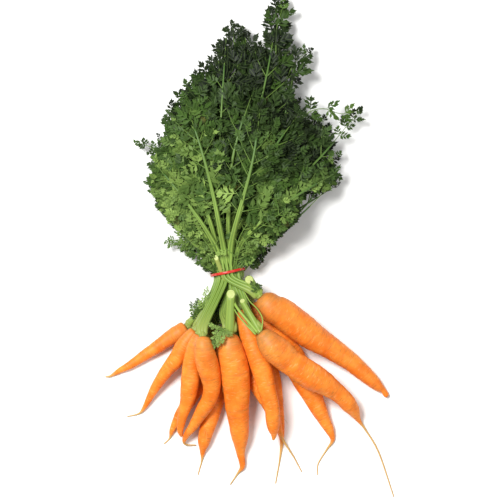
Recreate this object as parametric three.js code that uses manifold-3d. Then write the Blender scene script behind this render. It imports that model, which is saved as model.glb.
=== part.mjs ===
// A bunch of thirteen carrots with their leaves on, tied round the leaf stalks with a rubber band and
// lying on a flat surface. Millimetres, +Z up. The origin is on that surface below the middle of the
// bunch, the leaves reach to +Y and the root tips to -Y. Each carrot is an orange root and, 0.3 mm off
// its crown, one green solid of collar, leaf stalks and fronds.

import * as THREE from 'three';
import { mergeVertices } from 'three/addons/utils/BufferGeometryUtils.js';
import Module from 'manifold-3d';

const wasm = await Module();
wasm.setup();

const { degToRad, radToDeg, lerp, smoothstep } = THREE.MathUtils;

const CROWN_GAP = 0.3;

// A root's underside closer to the surface than flatBelow lies flat on it.
const ROOT = { wideSides: 12, slimSides: 10, wideFrom: 11, flatBelow: 0.35, colour: '#e8742a' };

const BAND = {
  centre: new THREE.Vector3(-23, -23.5, 20),
  turn: 11,
  halfWidth: 17.3,
  halfHeight: 15.6,
  width: 2.8,
  thickness: 1.2,
  corners: 28,
  colour: '#d8392b',
};

// The stalks lie in level rows inside the band, a pitch apart both ways, the lowest row first.
const STALK = {
  rowSizes: [3, 6, 7, 8, 7, 6, 3],
  pitch: 4.1,
  radius: 1.85,
  tipRadius: 0.75,
  sides: 4,
  lowerRings: 4,
  straight: 5,
  baseGap: 3.3,
  colour: '#8fb04a',
};

const COLLAR = { height: 6, foot: 0.66, head: 0.5, sunk: 2, sides: 8 };

// The pile of fronds is a dome on an oval plan. Each row of stalks feeds its own layer of the dome,
// and in a layer the left carrot and the right one stay on their own sides of a line.
const PILE = {
  centreX: -10,
  centreY: 105,
  halfWidth: 108,
  halfLength: 138,
  edgeHeight: 30,
  middleHeight: 86,
  floorGap: 0.6,
  spreadFrom: 6,
  spreadTo: 64,
  turnFrom: 10,
  turnTo: 90,
  bentBy: 45,
  sideGap: 0.8,
  sideBlend: 13,
};

// How far the leaves reach from the band: [angle from +Y in degrees, reach].
const OUTLINE = [
  [-180, 22], [-84, 26], [-72, 45], [-60, 68], [-48, 99], [-43, 126], [-39, 131], [-25, 163], [-20, 190],
  [-13, 198], [-4, 217], [3, 240], [11, 292], [18, 250], [22, 204], [36, 204], [40, 222], [46, 165],
  [51, 156], [53, 120], [54, 80], [61, 59], [73, 38], [85, 24], [180, 22],
];

// A leaflet's outline on one side of its rib, as shares of its length: a lobe, a cut and a lobe.
const LOBES = [[0.34, 0.24], [0.43, 0.07], [0.74, 0.2]];

const LEAFLET = {
  bareRings: 2,
  longPairs: 3,
  shortPairs: 2,
  longFrom: 198,
  baseShare: 0.31,
  shrink: 0.17,
  tipShare: 0.19,
  tipSink: 0.01,
  baseAngle: 58,
  tipAngle: 38,
  ribHalf: 0.62,
  rootHalf: 0.45,
  middleAt: 0.45,
  lowShare: 0.2,
  highShare: 0.8,
  rollShare: 0.2,
  liftShare: 0.04,
  cutStep: 0.94,
  shortestShare: 0.35,
};

// Root points are [x, y, radius] for a root that lies on the surface, and [x, y, radius, height of its
// middle] for one that lies on others, from crown to tail. Fronds are [angle from +Y in degrees, reach
// from the band], from left to right. A stalk that has to pass between roots goes by way of "via".
// Cut stalks are [x, y, height, radius] of their cut ends.
const CARROTS = [
  {
    side: -1, row: 3, fronds: [[-42, 122], [-25, 165], [-8, 205]],
    via: [[-48, -59, 15]], cutStalks: [[-57, -71, 15, 2.2]],
    root: [[-67, -82, 8], [-76, -88, 9.2], [-84, -93, 8.2], [-105, -107, 6.3], [-126, -121, 4.4],
      [-137, -127, 3], [-147, -133, 1.3], [-153, -134, 0.6]],
  },
  {
    side: -1, row: 4, fronds: [[-53, 88], [-35, 146], [-19, 186], [-3, 216]],
    root: [[-62, -90, 7, 24], [-69, -100, 8.9, 22], [-76, -113, 9, 19], [-89, -129, 6.8, 13.5],
      [-101, -147, 4.8, 8], [-112, -167, 2.1, 3], [-118, -173, 0.8, 1.4], [-130, -176, 0.5, 0.8]],
  },
  {
    side: -1, row: 5, fronds: [[-38, 136], [-20, 190], [-1, 268]],
    root: [[-55, -94, 7.2, 37], [-57, -101, 8.9, 35.8], [-61, -116, 8.9, 31], [-62.5, -134, 9.8, 27.8],
      [-64, -147, 9.1, 26], [-66, -158, 7.6, 22.6], [-69, -168, 6.1, 19.4], [-72, -179, 4.8, 15],
      [-73.5, -190, 3.4, 10.5], [-72, -197, 1.3, 6.5]],
  },
  {
    side: -1, row: 2, fronds: [[-48, 104], [-30, 150], [-11, 190]],
    via: [[-36, -68, 12]],
    root: [[-45, -108, 6.4], [-47.5, -118, 7.8], [-50, -129, 8], [-54.5, -142, 8.4], [-60.5, -151, 8.3],
      [-66, -162, 7.1], [-74, -174, 5.6], [-82, -190, 3], [-85, -199, 0.9], [-91, -205, 0.6]],
  },
  {
    side: -1, row: 6, fronds: [[-45, 112], [-27, 160], [-12, 198]],
    root: [[-49, -91, 6.6, 52.5], [-48.5, -99, 9.6, 54.4], [-47, -110, 11.5, 51], [-44, -121, 11.8, 44],
      [-41.5, -131, 11, 38.6], [-40, -143, 9.3, 33], [-43, -157, 8.2, 28], [-49, -167, 7.5, 24.4],
      [-59, -184, 5.2, 16], [-68, -197, 3, 8.6], [-68.5, -205, 1, 4], [-57, -206, 0.6, 1.6]],
  },
  {
    side: -1, row: 1, fronds: [[-15, 186]],
    root: [[-27, -99, 7.4], [-28.5, -110, 9], [-30, -124, 9.8], [-32, -137, 9.8], [-36, -157, 9.6],
      [-40.5, -173, 9.1], [-45.5, -189, 8], [-48.5, -202, 6.5], [-50, -213, 3], [-51, -223, 0.9],
      [-55, -238, 0.5]],
  },
  {
    side: 1, row: 4, fronds: [[9, 232], [19, 246], [34, 188], [51, 136]],
    via: [[-27, -64, 30]], cutStalks: [[-20, -46, 49, 4]],
    root: [[-21.5, -88, 8.4, 42.5], [-21.5, -96, 11.8, 42], [-20, -106, 14, 40.6], [-18, -116, 14.9, 38.8],
      [-16, -126, 15.2, 36.6], [-14.5, -139, 14.7, 32.5], [-13.5, -161, 13, 25], [-12, -180, 11, 18],
      [-10.5, -196, 9.2, 12.5], [-10, -213, 4.8, 7], [-8, -228, 2.9, 3.4], [-13, -236, 1, 1.4],
      [-21, -248, 0.5, 0.9]],
  },
  {
    side: 1, row: 5, fronds: [[11, 292], [24, 196], [39, 218], [52, 120]],
    root: [[-10.5, -64, 5.4, 34], [-6, -74, 8.4, 36.4], [-2, -84, 9.9, 37], [1.5, -95, 10.5, 37.4],
      [5.5, -105, 11.1, 37.4], [10.5, -118, 11.2, 37.2], [15.5, -137, 10.3, 36.4], [19.5, -152, 9.1, 35],
      [23.2, -168, 7.9, 33.4], [24, -179, 7.3, 30], [24.5, -187, 6.2, 27], [25, -194, 3.2, 24],
      [24.5, -200, 1.3, 21.4]],
  },
  {
    side: 1, row: 2, fronds: [[14, 200], [28, 192], [50, 152]],
    via: [[1.5, -89, 7], [-6, -74, 7.5], [-11.5, -54, 9]],
    root: [[10.5, -100, 4.4], [17, -110, 5.4], [22.5, -122, 6], [26.5, -137, 6.2], [28.5, -152, 6],
      [29.8, -168, 5.8], [31, -181, 5.4], [32.5, -192, 4], [33.5, -202, 2], [31.5, -221, 0.9],
      [27, -247, 0.5]],
  },
  {
    side: 1, row: 6, fronds: [[6, 202], [22, 192], [45, 162]],
    via: [[0, -70, 45.5], [-8, -50, 34.5]], cutStalks: [[-8, -53, 51, 2.4]],
    root: [[11, -86, 6.8, 56], [17, -93, 11.6, 56.4], [24, -101, 14.6, 55.4], [34, -109.5, 14.8, 51],
      [41, -116, 13.7, 47.2], [52.5, -124, 14, 43], [66, -133, 14.3, 38.6], [78, -140, 12.3, 33],
      [90, -148.5, 9.8, 27], [98.5, -156, 9, 22], [104, -162.5, 8.6, 18], [109, -169, 6.6, 13.4],
      [115, -180, 2.4, 6.4], [122, -190, 1, 3], [136, -214, 0.8, 1.4], [152, -261, 0.5, 0.8]],
  },
  {
    side: 1, row: 3, fronds: [[5, 214], [17, 222], [33, 186], [47, 156]],
    root: [[-10.5, -99, 7.6, 14], [-5.5, -110, 10, 14.6], [1, -124, 11, 15.6], [8.5, -140, 10.3, 16.6],
      [15, -152, 9.4, 17], [21, -164, 7.8, 17.4], [26, -176, 5.8, 16.8], [31, -190, 3.2, 12.2],
      [35, -200.5, 1.3, 7.4], [47, -220, 0.7, 2.2], [55, -235, 0.5, 0.8]],
  },
  {
    side: 1, row: 1, fronds: [[17, 190], [37, 184]],
    root: [[2, -58, 7.2], [8, -66, 9.4], [14, -76, 10.8], [23, -86, 12.2], [32.5, -98, 12.9],
      [43, -110, 13.1], [52.5, -128, 12.8], [61.5, -145, 12], [67, -156, 10.2], [72.5, -168, 8.6],
      [77.5, -178, 6.8], [84, -190, 4.8], [87, -201, 2.1], [81, -211, 0.9], [72, -226, 0.6],
      [71.5, -238, 0.5]],
  },
  {
    side: 0, row: 7, fronds: [[-33, 152], [-13, 190], [12, 176]], cutStalks: [[-1, -31, 38, 4]],
    root: [[11, -49, 7, 38], [16.5, -54.5, 13, 37.2], [24, -61.5, 15.2, 35.6], [33, -66, 15.9, 33.6],
      [44, -74, 16, 30.6], [60, -86.5, 15.4, 26.4], [77, -98, 13.1, 21.6], [91, -107, 11.5, 17.8],
      [105.5, -117.5, 10, 13.6], [118, -128, 8.7, 10.4], [128.5, -137.5, 7.3, 7.6], [135, -143.5, 5.6, 5.8],
      [140.5, -148, 3.2, 3.6], [145, -155, 3, 3.2]],
  },
];

const bandAlong = new THREE.Vector3(-Math.sin(degToRad(BAND.turn)), Math.cos(degToRad(BAND.turn)), 0);
const bandAcross = new THREE.Vector3(Math.cos(degToRad(BAND.turn)), Math.sin(degToRad(BAND.turn)), 0);
const up = new THREE.Vector3(0, 0, 1);

// Park and Miller's sequence, so every draw is the same each time.
function drawsFrom(seed) {
  let state = seed;
  return (low, high) => {
    state = (state * 48271) % 2147483647;
    return lerp(low, high, state / 2147483647);
  };
}

function solidOf(geometry) {
  geometry.deleteAttribute('normal');
  geometry.deleteAttribute('uv');
  const merged = mergeVertices(geometry);
  return new wasm.Manifold(new wasm.Mesh({
    numProp: 3,
    vertProperties: merged.attributes.position.array,
    triVerts: Uint32Array.from(merged.index.array),
  }));
}

function geometryOf(solid) {
  const mesh = solid.getMesh();
  const geometry = new THREE.BufferGeometry();
  geometry.setAttribute('position', new THREE.BufferAttribute(mesh.vertProperties, 3));
  geometry.setIndex(new THREE.BufferAttribute(mesh.triVerts, 1));
  return geometry;
}

function named(name, geometry, colour, roughness) {
  const material = new THREE.MeshStandardMaterial({ color: colour, roughness, metalness: 0 });
  const mesh = new THREE.Mesh(geometry, material);
  mesh.name = name;
  return mesh;
}

// A closed cylinder carried along a path, with a flat side of its section underneath.
function tube(centreAt, radiusAt, sides, rings) {
  const geometry = new THREE.CylinderGeometry(1, 1, 1, sides, rings, false, Math.PI / sides);
  const position = geometry.attributes.position;
  const step = 0.002;
  for (let i = 0; i < position.count; i += 1) {
    const t = 0.5 - position.getY(i);
    const centre = centreAt(t);
    const ahead = centreAt(Math.min(t + step, 1));
    const tangent = ahead.sub(centreAt(Math.max(t - step, 0))).normalize();
    const across = tangent.clone().cross(up).normalize();
    const over = across.clone().cross(tangent);
    const radius = radiusAt(t);
    centre.addScaledVector(across, position.getX(i) * radius);
    centre.addScaledVector(over, -position.getZ(i) * radius);
    position.setXYZ(i, centre.x, centre.y, centre.z);
  }
  return geometry;
}

function rootSides(carrot) {
  const widest = Math.max(...carrot.root.map((point) => point[2]));
  return widest > ROOT.wideFrom ? ROOT.wideSides : ROOT.slimSides;
}

function rootPath(carrot) {
  const flatShare = Math.cos(Math.PI / rootSides(carrot));
  const points = carrot.root.map(([x, y, radius, height]) => (
    new THREE.Vector3(x, y, height ?? radius * flatShare)));
  const girths = carrot.root.map(([, , radius], index) => new THREE.Vector2(index, radius));
  return {
    curve: new THREE.CatmullRomCurve3(points, false, 'catmullrom', 0.5),
    girth: new THREE.SplineCurve(girths),
  };
}

function buildRoot(carrot) {
  const { curve, girth } = rootPath(carrot);
  const geometry = tube(
    (t) => curve.getPoint(t),
    (t) => girth.getPoint(t).y,
    rootSides(carrot),
    carrot.root.length - 1,
  );
  const position = geometry.attributes.position;
  for (let i = 0; i < position.count; i += 1) {
    if (position.getZ(i) < ROOT.flatBelow) {
      position.setZ(i, 0);
    }
  }
  return solidOf(geometry);
}

// How high the dome of fronds stands over a point, and how low its underside is: as high as the band
// next to it, then opening to the full pile.
function pileHeights(x, y) {
  const fromBand = Math.hypot(x - BAND.centre.x, y - BAND.centre.y);
  const spread = smoothstep(fromBand, PILE.spreadFrom, PILE.spreadTo);
  const off = Math.hypot((x - PILE.centreX) / PILE.halfWidth, (y - PILE.centreY) / PILE.halfLength);
  const swell = Math.max(0, 1 - off * off) ** 0.7;
  const bandHalf = STALK.rowSizes.length * STALK.pitch / 2;
  return {
    low: lerp(BAND.centre.z - bandHalf, PILE.floorGap, spread),
    high: lerp(BAND.centre.z + bandHalf, lerp(PILE.edgeHeight, PILE.middleHeight, swell), spread),
  };
}

// The height in a row's layer of the dome, where share 0 is the layer's underside and 1 its top.
function layerHeight(x, y, row, share) {
  const { low, high } = pileHeights(x, y);
  return lerp(low, high, (row - 1 + share) / STALK.rowSizes.length);
}

// The line between the left carrot's fronds and the right one's in a row leaves the band midway
// between their nearest fronds.
function dividingAngle(row) {
  const left = CARROTS.find((carrot) => carrot.row === row && carrot.side < 0);
  const right = CARROTS.find((carrot) => carrot.row === row && carrot.side > 0);
  return degToRad((left.fronds.at(-1)[0] + right.fronds[0][0]) / 2);
}

// Bends a point that comes near the dividing line, or would cross it, to its own side of the line.
function keepToSide(x, y, carrot) {
  if (carrot.side === 0) {
    return [x, y];
  }
  const fromBandX = x - BAND.centre.x;
  const fromBandY = y - BAND.centre.y;
  const fromBand = Math.hypot(fromBandX, fromBandY);
  const turned = smoothstep(fromBand, PILE.turnFrom, PILE.turnTo);
  const angle = lerp(-degToRad(BAND.turn), dividingAngle(carrot.row), turned);
  const acrossX = Math.cos(angle) * carrot.side;
  const acrossY = -Math.sin(angle) * carrot.side;
  const distance = fromBandX * acrossX + fromBandY * acrossY;
  if (distance >= PILE.sideBlend) {
    return [x, y];
  }
  const room = PILE.sideBlend - PILE.sideGap;
  const bent = PILE.sideGap + room * Math.exp((distance - PILE.sideBlend) / room);
  const move = (bent - distance) * smoothstep(fromBand, PILE.turnFrom, PILE.bentBy);
  return [x + acrossX * move, y + acrossY * move];
}

function slotPoint(carrot, index) {
  const size = STALK.rowSizes[carrot.row - 1];
  const first = carrot.side > 0 ? size - carrot.fronds.length : 0;
  const across = (first + index - (size - 1) / 2) * STALK.pitch;
  const height = (carrot.row - (STALK.rowSizes.length + 1) / 2) * STALK.pitch;
  return BAND.centre.clone().addScaledVector(bandAcross, across).addScaledVector(up, height);
}

function crownFrame(carrot) {
  const { curve } = rootPath(carrot);
  const crown = curve.getPoint(0);
  const outward = curve.getTangent(0).negate();
  const across = outward.clone().cross(up).normalize();
  return { crown, outward, across, radius: carrot.root[0][2] };
}

// One stalk and its frond: up from the crown, level through the band, then along a curved rib. The
// rib's plan is a Bezier curve and its height is that of its layer.
function layFrond(carrot, carrotIndex, index) {
  const draw = drawsFrom(7919 * (carrotIndex + 1) + 1049 * (index + 1));
  const [angle, reach] = carrot.fronds[index];
  const { crown, outward, across, radius } = crownFrame(carrot);
  const slot = slotPoint(carrot, index);
  const count = carrot.fronds.length;
  const stance = (index - (count - 1) / 2) * Math.min(STALK.baseGap, 1.1 * radius / count);
  const base = crown.clone().addScaledVector(outward, 1.6).addScaledVector(across, stance);
  const rise = base.clone().addScaledVector(outward, 8).addScaledVector(across, stance * 0.3);
  const vias = (carrot.via ?? []).map(([x, y, z]) => (
    new THREE.Vector3(x, y, z).addScaledVector(bandAcross, stance)));
  const enter = slot.clone().addScaledVector(bandAlong, -STALK.straight);
  const leave = slot.clone().addScaledVector(bandAlong, STALK.straight);
  const lower = new THREE.CatmullRomCurve3([base, rise, ...vias, enter, leave], false, 'centripetal');

  const heading = degToRad(angle);
  const endHeading = heading + degToRad(draw(-22, 22));
  const stem = reach * (1 - LEAFLET.tipShare);
  const end = new THREE.Vector2(Math.sin(heading), Math.cos(heading)).multiplyScalar(stem);
  end.add(new THREE.Vector2(BAND.centre.x, BAND.centre.y));
  const start = new THREE.Vector2(leave.x, leave.y);
  const upper = new THREE.CubicBezierCurve(
    start,
    start.clone().add(new THREE.Vector2(bandAlong.x, bandAlong.y).multiplyScalar(stem * 0.22)),
    end.clone().sub(new THREE.Vector2(Math.sin(endHeading), Math.cos(endHeading)).multiplyScalar(stem * 0.4)),
    end,
  );
  const share = lerp(LEAFLET.lowShare, LEAFLET.highShare, (index + 0.5) / count);
  const pairs = reach > LEAFLET.longFrom ? LEAFLET.longPairs : LEAFLET.shortPairs;
  return { carrot, draw, reach, pairs, lower, upper, share };
}

function ribPoint(frond, t) {
  const plan = frond.upper.getPoint(t);
  const [x, y] = keepToSide(plan.x, plan.y, frond.carrot);
  const share = lerp(0.5, frond.share, smoothstep(t, 0.12, 0.4));
  return new THREE.Vector3(x, y, layerHeight(x, y, frond.carrot.row, share));
}

function buildStalk(frond) {
  const rings = STALK.lowerRings + LEAFLET.bareRings + frond.pairs;
  const meet = STALK.lowerRings / rings;
  const centreAt = (t) => (t <= meet
    ? frond.lower.getPoint(t / meet)
    : ribPoint(frond, (t - meet) / (1 - meet)));
  const radiusAt = (t) => (t <= meet
    ? STALK.radius
    : lerp(STALK.radius, STALK.tipRadius, ((t - meet) / (1 - meet)) ** 0.7));
  return solidOf(tube(centreAt, radiusAt, STALK.sides, rings));
}

function outlineReach(x, y) {
  const angle = radToDeg(Math.atan2(x - BAND.centre.x, y - BAND.centre.y));
  const after = OUTLINE.findIndex(([limit]) => limit >= angle);
  const [[fromAngle, fromReach], [toAngle, toReach]] = OUTLINE.slice(Math.max(after, 1) - 1);
  return lerp(fromReach, toReach, (angle - fromAngle) / (toAngle - fromAngle));
}

// A leaflet is cut back until its tip is inside the outline of the leaves.
function fitLength(root, along, carrot, fullLength) {
  let length = fullLength;
  while (length > fullLength * LEAFLET.shortestShare) {
    const [x, y] = keepToSide(root.x + length * along.x, root.y + length * along.y, carrot);
    if (Math.hypot(x - BAND.centre.x, y - BAND.centre.y) <= outlineReach(x, y)) {
      break;
    }
    length *= LEAFLET.cutStep;
  }
  return length;
}

// Leaflets grow in pairs at the rings of the rib past its bare foot, and one grows at its tip.
// A leaflet is a closed blade, thick along its rib and thin at its cut edge, the same net of
// triangles above and below. It starts in the middle of the rib that carries it.
function buildLeaflet(frond, at, turn, fullLength) {
  const { carrot, draw } = frond;
  const root = frond.upper.getPoint(at);
  const ribway = frond.upper.getTangent(at);
  const heading = Math.atan2(ribway.x, ribway.y) + turn;
  const along = new THREE.Vector2(Math.sin(heading), Math.cos(heading));
  const across = new THREE.Vector2(Math.cos(heading), -Math.sin(heading));
  const length = fitLength(root, along, carrot, fullLength);
  const roll = draw(-1, 1);
  const lift = draw(-1, 1);

  const vertex = (a, b, half) => {
    const planX = root.x + length * (a * along.x + b * across.x);
    const planY = root.y + length * (a * along.y + b * across.y);
    const [x, y] = keepToSide(planX, planY, carrot);
    const share = frond.share + LEAFLET.rollShare * roll * b + LEAFLET.liftShare * lift * a;
    return [x, y, layerHeight(x, y, carrot.row, share) + half];
  };

  const left = LOBES.map(([a, b]) => vertex(a, -b, 0));
  const right = LOBES.map(([a, b]) => vertex(a, b, 0)).reverse();
  const edge = [...left, vertex(1, 0, 0), ...right];
  const points = [
    vertex(LEAFLET.middleAt, 0, LEAFLET.ribHalf),
    vertex(LEAFLET.middleAt, 0, -LEAFLET.ribHalf),
    vertex(0, 0, LEAFLET.rootHalf),
    vertex(0, 0, -LEAFLET.rootHalf),
    ...edge,
  ];
  const [overRib, underRib, overRoot, underRoot, firstEdge] = [0, 1, 2, 3, 4];
  const lastEdge = firstEdge + edge.length - 1;
  const faces = [
    overRib, firstEdge, overRoot,
    overRib, overRoot, lastEdge,
    underRib, underRoot, firstEdge,
    underRib, lastEdge, underRoot,
    overRoot, firstEdge, underRoot,
    overRoot, underRoot, lastEdge,
  ];
  for (let i = firstEdge; i < lastEdge; i += 1) {
    faces.push(overRib, i + 1, i);
    faces.push(underRib, i, i + 1);
  }
  const geometry = new THREE.BufferGeometry();
  geometry.setAttribute('position', new THREE.Float32BufferAttribute(points.flat(), 3));
  geometry.setIndex(faces);
  return solidOf(geometry);
}

function buildFrond(frond) {
  const { draw, reach, pairs } = frond;
  const parts = [buildStalk(frond)];
  for (let pair = 0; pair < pairs; pair += 1) {
    const share = pair / pairs;
    for (const turnSide of [-1, 1]) {
      const at = (LEAFLET.bareRings + pair) / (LEAFLET.bareRings + pairs);
      const angle = lerp(LEAFLET.baseAngle, LEAFLET.tipAngle, share) + draw(-8, 8);
      const length = reach * (LEAFLET.baseShare - LEAFLET.shrink * share) * draw(0.85, 1.1);
      parts.push(buildLeaflet(frond, at, turnSide * degToRad(angle), length));
    }
  }
  parts.push(buildLeaflet(frond, 1 - LEAFLET.tipSink, 0, reach * LEAFLET.tipShare));
  return parts;
}

// The collar is what the leaf stalks grow from on the crown, with the stubs of stalks that were cut.
function buildCollar(carrot) {
  const { crown, outward, radius } = crownFrame(carrot);
  const foot = crown.clone().addScaledVector(outward, CROWN_GAP);
  const head = foot.clone().addScaledVector(outward, COLLAR.height);
  const taper = (t) => lerp(COLLAR.foot, COLLAR.head, t) * radius;
  const parts = [solidOf(tube((t) => foot.clone().lerp(head, t), taper, COLLAR.sides, 1))];
  const inside = foot.clone().addScaledVector(outward, COLLAR.sunk);
  for (const [x, y, z, endRadius] of carrot.cutStalks ?? []) {
    const end = new THREE.Vector3(x, y, z);
    const swell = (t) => lerp(STALK.radius, endRadius, t);
    parts.push(solidOf(tube((t) => inside.clone().lerp(end, t), swell, COLLAR.sides, 2)));
  }
  return parts;
}

function buildTop(carrot, carrotIndex) {
  const parts = buildCollar(carrot);
  carrot.fronds.forEach((_, index) => {
    parts.push(...buildFrond(layFrond(carrot, carrotIndex, index)));
  });
  return wasm.Manifold.union(parts);
}

// The band is a flat strip bent to an oval round the stalks.
function buildBand() {
  const oval = (grow) => {
    const ellipse = new THREE.EllipseCurve(0, 0, BAND.halfWidth + grow, BAND.halfHeight + grow);
    return ellipse.getPoints(BAND.corners).slice(0, BAND.corners);
  };
  const shape = new THREE.Shape(oval(BAND.thickness / 2));
  shape.holes.push(new THREE.Path(oval(-BAND.thickness / 2)));
  const geometry = new THREE.ExtrudeGeometry(shape, { depth: BAND.width, bevelEnabled: false });
  geometry.translate(0, 0, -BAND.width / 2);
  geometry.rotateX(Math.PI / 2);
  geometry.rotateZ(degToRad(BAND.turn));
  geometry.translate(BAND.centre.x, BAND.centre.y, BAND.centre.z);
  return solidOf(geometry);
}

const bunch = new THREE.Group();
CARROTS.forEach((carrot, index) => {
  const number = String(index + 1).padStart(2, '0');
  const root = geometryOf(buildRoot(carrot));
  const top = geometryOf(buildTop(carrot, index));
  bunch.add(named(`carrot_root_${number}`, root, ROOT.colour, 0.5));
  bunch.add(named(`carrot_top_${number}`, top, STALK.colour, 0.6));
});
bunch.add(named('rubber_band', geometryOf(buildBand()), BAND.colour, 0.45));

export default bunch;
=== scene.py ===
import math

import bpy
import numpy as np
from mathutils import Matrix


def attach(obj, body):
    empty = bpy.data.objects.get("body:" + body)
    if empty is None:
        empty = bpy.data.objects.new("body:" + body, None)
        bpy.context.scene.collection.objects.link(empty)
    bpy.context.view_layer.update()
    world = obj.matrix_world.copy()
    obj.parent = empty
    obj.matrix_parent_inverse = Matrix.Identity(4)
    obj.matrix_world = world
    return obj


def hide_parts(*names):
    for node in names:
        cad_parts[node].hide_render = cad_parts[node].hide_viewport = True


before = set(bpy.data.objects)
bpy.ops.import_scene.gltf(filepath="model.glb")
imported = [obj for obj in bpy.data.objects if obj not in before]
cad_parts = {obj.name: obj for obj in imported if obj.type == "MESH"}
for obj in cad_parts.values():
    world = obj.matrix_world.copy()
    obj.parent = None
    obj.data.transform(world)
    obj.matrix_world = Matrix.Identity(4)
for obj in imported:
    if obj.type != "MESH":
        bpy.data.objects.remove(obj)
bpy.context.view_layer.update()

# A bunch of thirteen carrots seen from straight above. Shapes are worked out in millimetres in the
# CAD frame, leaves to +Y and root tails to -Y, and turned to metres when a mesh is made.

metresPerMm = 0.001
print("frame loaded")


# Colours and nodes

def linearFromHex(text):
    # sRGB to linear: c / 12.92 below 0.04045, else ((c + 0.055) / 1.055) ^ 2.4
    channels = [int(text[i:i + 2], 16) / 255 for i in (1, 3, 5)]
    return [c / 12.92 if c <= 0.04045 else ((c + 0.055) / 1.055) ** 2.4 for c in channels] + [1.0]


def colourOf(level):
    # a hex text made linear, or the grey of a plain number
    return linearFromHex(level) if isinstance(level, str) else [level, level, level, 1.0]


def addNode(tree, kind, values=None, links=None, stops=None, **settings):
    # one node: settings are its own properties, values go to sockets, links are (node, output) pairs
    node = tree.nodes.new(kind)
    for key, value in settings.items():
        setattr(node, key, value)
    for key, value in (values or {}).items():
        node.inputs[key].default_value = colourOf(value) if isinstance(value, str) else value
    for key, (source, output) in (links or {}).items():
        tree.links.new(source.outputs[output], node.inputs[key])
    if stops:
        ramp = node.color_ramp
        while len(ramp.elements) < len(stops):
            ramp.elements.new(0.5)
        for element, (place, level) in zip(ramp.elements, stops):
            element.position = place
            element.color = colourOf(level)
    return node


def newMaterial(name, finish):
    # a new material whose shader has the levels that are the same all over
    material = bpy.data.materials.new(name)
    material.use_nodes = True
    tree = material.node_tree
    shader = tree.nodes["Principled BSDF"]
    for socket, level in finish.items():
        shader.inputs[socket].default_value = level
    return material, tree, shader


mixFactor, mixA, mixB, mixResult = 0, 6, 7, 2    # sockets of a colour Mix node


# Materials

skinLook = {
    "fresh": "#f18b2c",
    "deep": "#e67015",
    "shoulder": "#a0743e",
    "tail": "#c39a58",
    "mark": "#b86c2c",
    "pale": "#fbb677",
    "patchMm": 14,          # soft patches of lighter and deeper orange
    "mottleMm": 6,          # the olive of the shoulder comes in flecks of this size
    "markAcrossMm": 6,      # a transverse mark is this wide round the root
    "markAlongMm": 1.2,     # and this long, the finest that shows in the render
    "finish": {"Roughness": 0.5, "IOR": 1.42, "Specular IOR Level": 0.35},
}


def makeCarrotSkin():
    # Washed carrot skin: a waxy, even orange with thin cross marks, olive shoulders and a tan tail; the
    # creases are darkened with the marks' brown, partly the skin's own ring marks and partly painted shade
    material, tree, skin = newMaterial("washedCarrotSkin", skinLook["finish"])
    place, shoulder, tail, crease = (
        addNode(tree, "ShaderNodeAttribute", attribute_name=name)
        for name in ("skinPlace", "shoulder", "tail", "crease"))
    across, along = 1 / skinLook["markAcrossMm"], 1 / skinLook["markAlongMm"]
    stretched = addNode(
        tree, "ShaderNodeMapping",
        values={"Scale": (across, across, along)},
        links={"Vector": (place, "Vector")})
    patches, marks, flecks = (
        addNode(
            tree, "ShaderNodeTexNoise",
            values={"Scale": scale, "Detail": detail, "Roughness": roughness},
            links={"Vector": (source, "Vector")})
        for source, scale, detail, roughness in (
            (place, 1 / skinLook["patchMm"], 3.0, 0.55),
            (stretched, 1.0, 2.0, 0.6),
            (place, 1 / skinLook["mottleMm"], 4.0, 0.7)))
    orange, darkMarks, paleMarks, fleckLevel = (
        addNode(tree, "ShaderNodeValToRGB", links={"Fac": (source, "Fac")}, stops=stops)
        for source, stops in (
            (patches, [(0.35, skinLook["deep"]), (0.62, skinLook["fresh"])]),
            (marks, [(0.3, 0.75), (0.42, 0.0)]),
            (marks, [(0.58, 0.0), (0.74, 0.5)]),
            (flecks, [(0.36, 0.55), (0.62, 1.0)])))
    onShoulder = addNode(
        tree, "ShaderNodeMath", operation="MULTIPLY",
        links={0: (shoulder, "Fac"), 1: (fleckLevel, "Color")})
    painted = (orange, "Color")
    # the brown in the creases is partly the skin's own ring marks and partly painted shade
    for colour, level in (
            ("mark", (darkMarks, "Color")), ("pale", (paleMarks, "Color")), ("mark", (crease, "Fac")),
            ("shoulder", (onShoulder, "Value")), ("tail", (tail, "Fac"))):
        layer = addNode(
            tree, "ShaderNodeMix", data_type="RGBA",
            values={mixB: skinLook[colour]}, links={mixFactor: level, mixA: painted})
        painted = (layer, mixResult)
    bump = addNode(
        tree, "ShaderNodeBump",
        values={"Strength": 0.25, "Distance": 0.0004},
        links={"Height": (marks, "Fac")})
    tree.links.new(layer.outputs[mixResult], skin.inputs["Base Color"])
    tree.links.new(bump.outputs["Normal"], skin.inputs["Normal"])
    return material


# Carrot leaf: a thin, soft green blade, paler along its rib and tan where a tip has dried. Its green runs
# from near black to pale over a field that holds painted light and shade as well as the leaves' own tone
leafLook = {
    "ground": ("leafToneWithPaintedShade", [(0.0, "#0c1807"), (0.5, "#39531f"), (1.0, "#7f994c")]),
    "layers": [
        ("fromRib", [(0.0, 0.12), (0.2, 0.0)], "#9ab56a"),
        ("dryness", [(0.0, 0.0), (1.0, 1.0)], "#6b5c2c"),
    ],
    "finish": {"Roughness": 0.5, "IOR": 1.4, "Specular IOR Level": 0.2},
}

# Leaf stalk: smooth and juicy with fine ribs, yellow-green at its foot and greener above; the grooves between
# the ribs are painted darker green as shade
stalkLook = {
    "ground": ("upStalk", [(0.0, "#929d50"), (0.25, "#87a246"), (0.65, "#9ab656"), (1.0, "#41602a")]),
    "layers": [("onRib", [(0.0, 0.0), (1.0, 0.75)], "#41602a")],
    "finish": {"Roughness": 0.4, "IOR": 1.4, "Specular IOR Level": 0.3},
}


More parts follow.
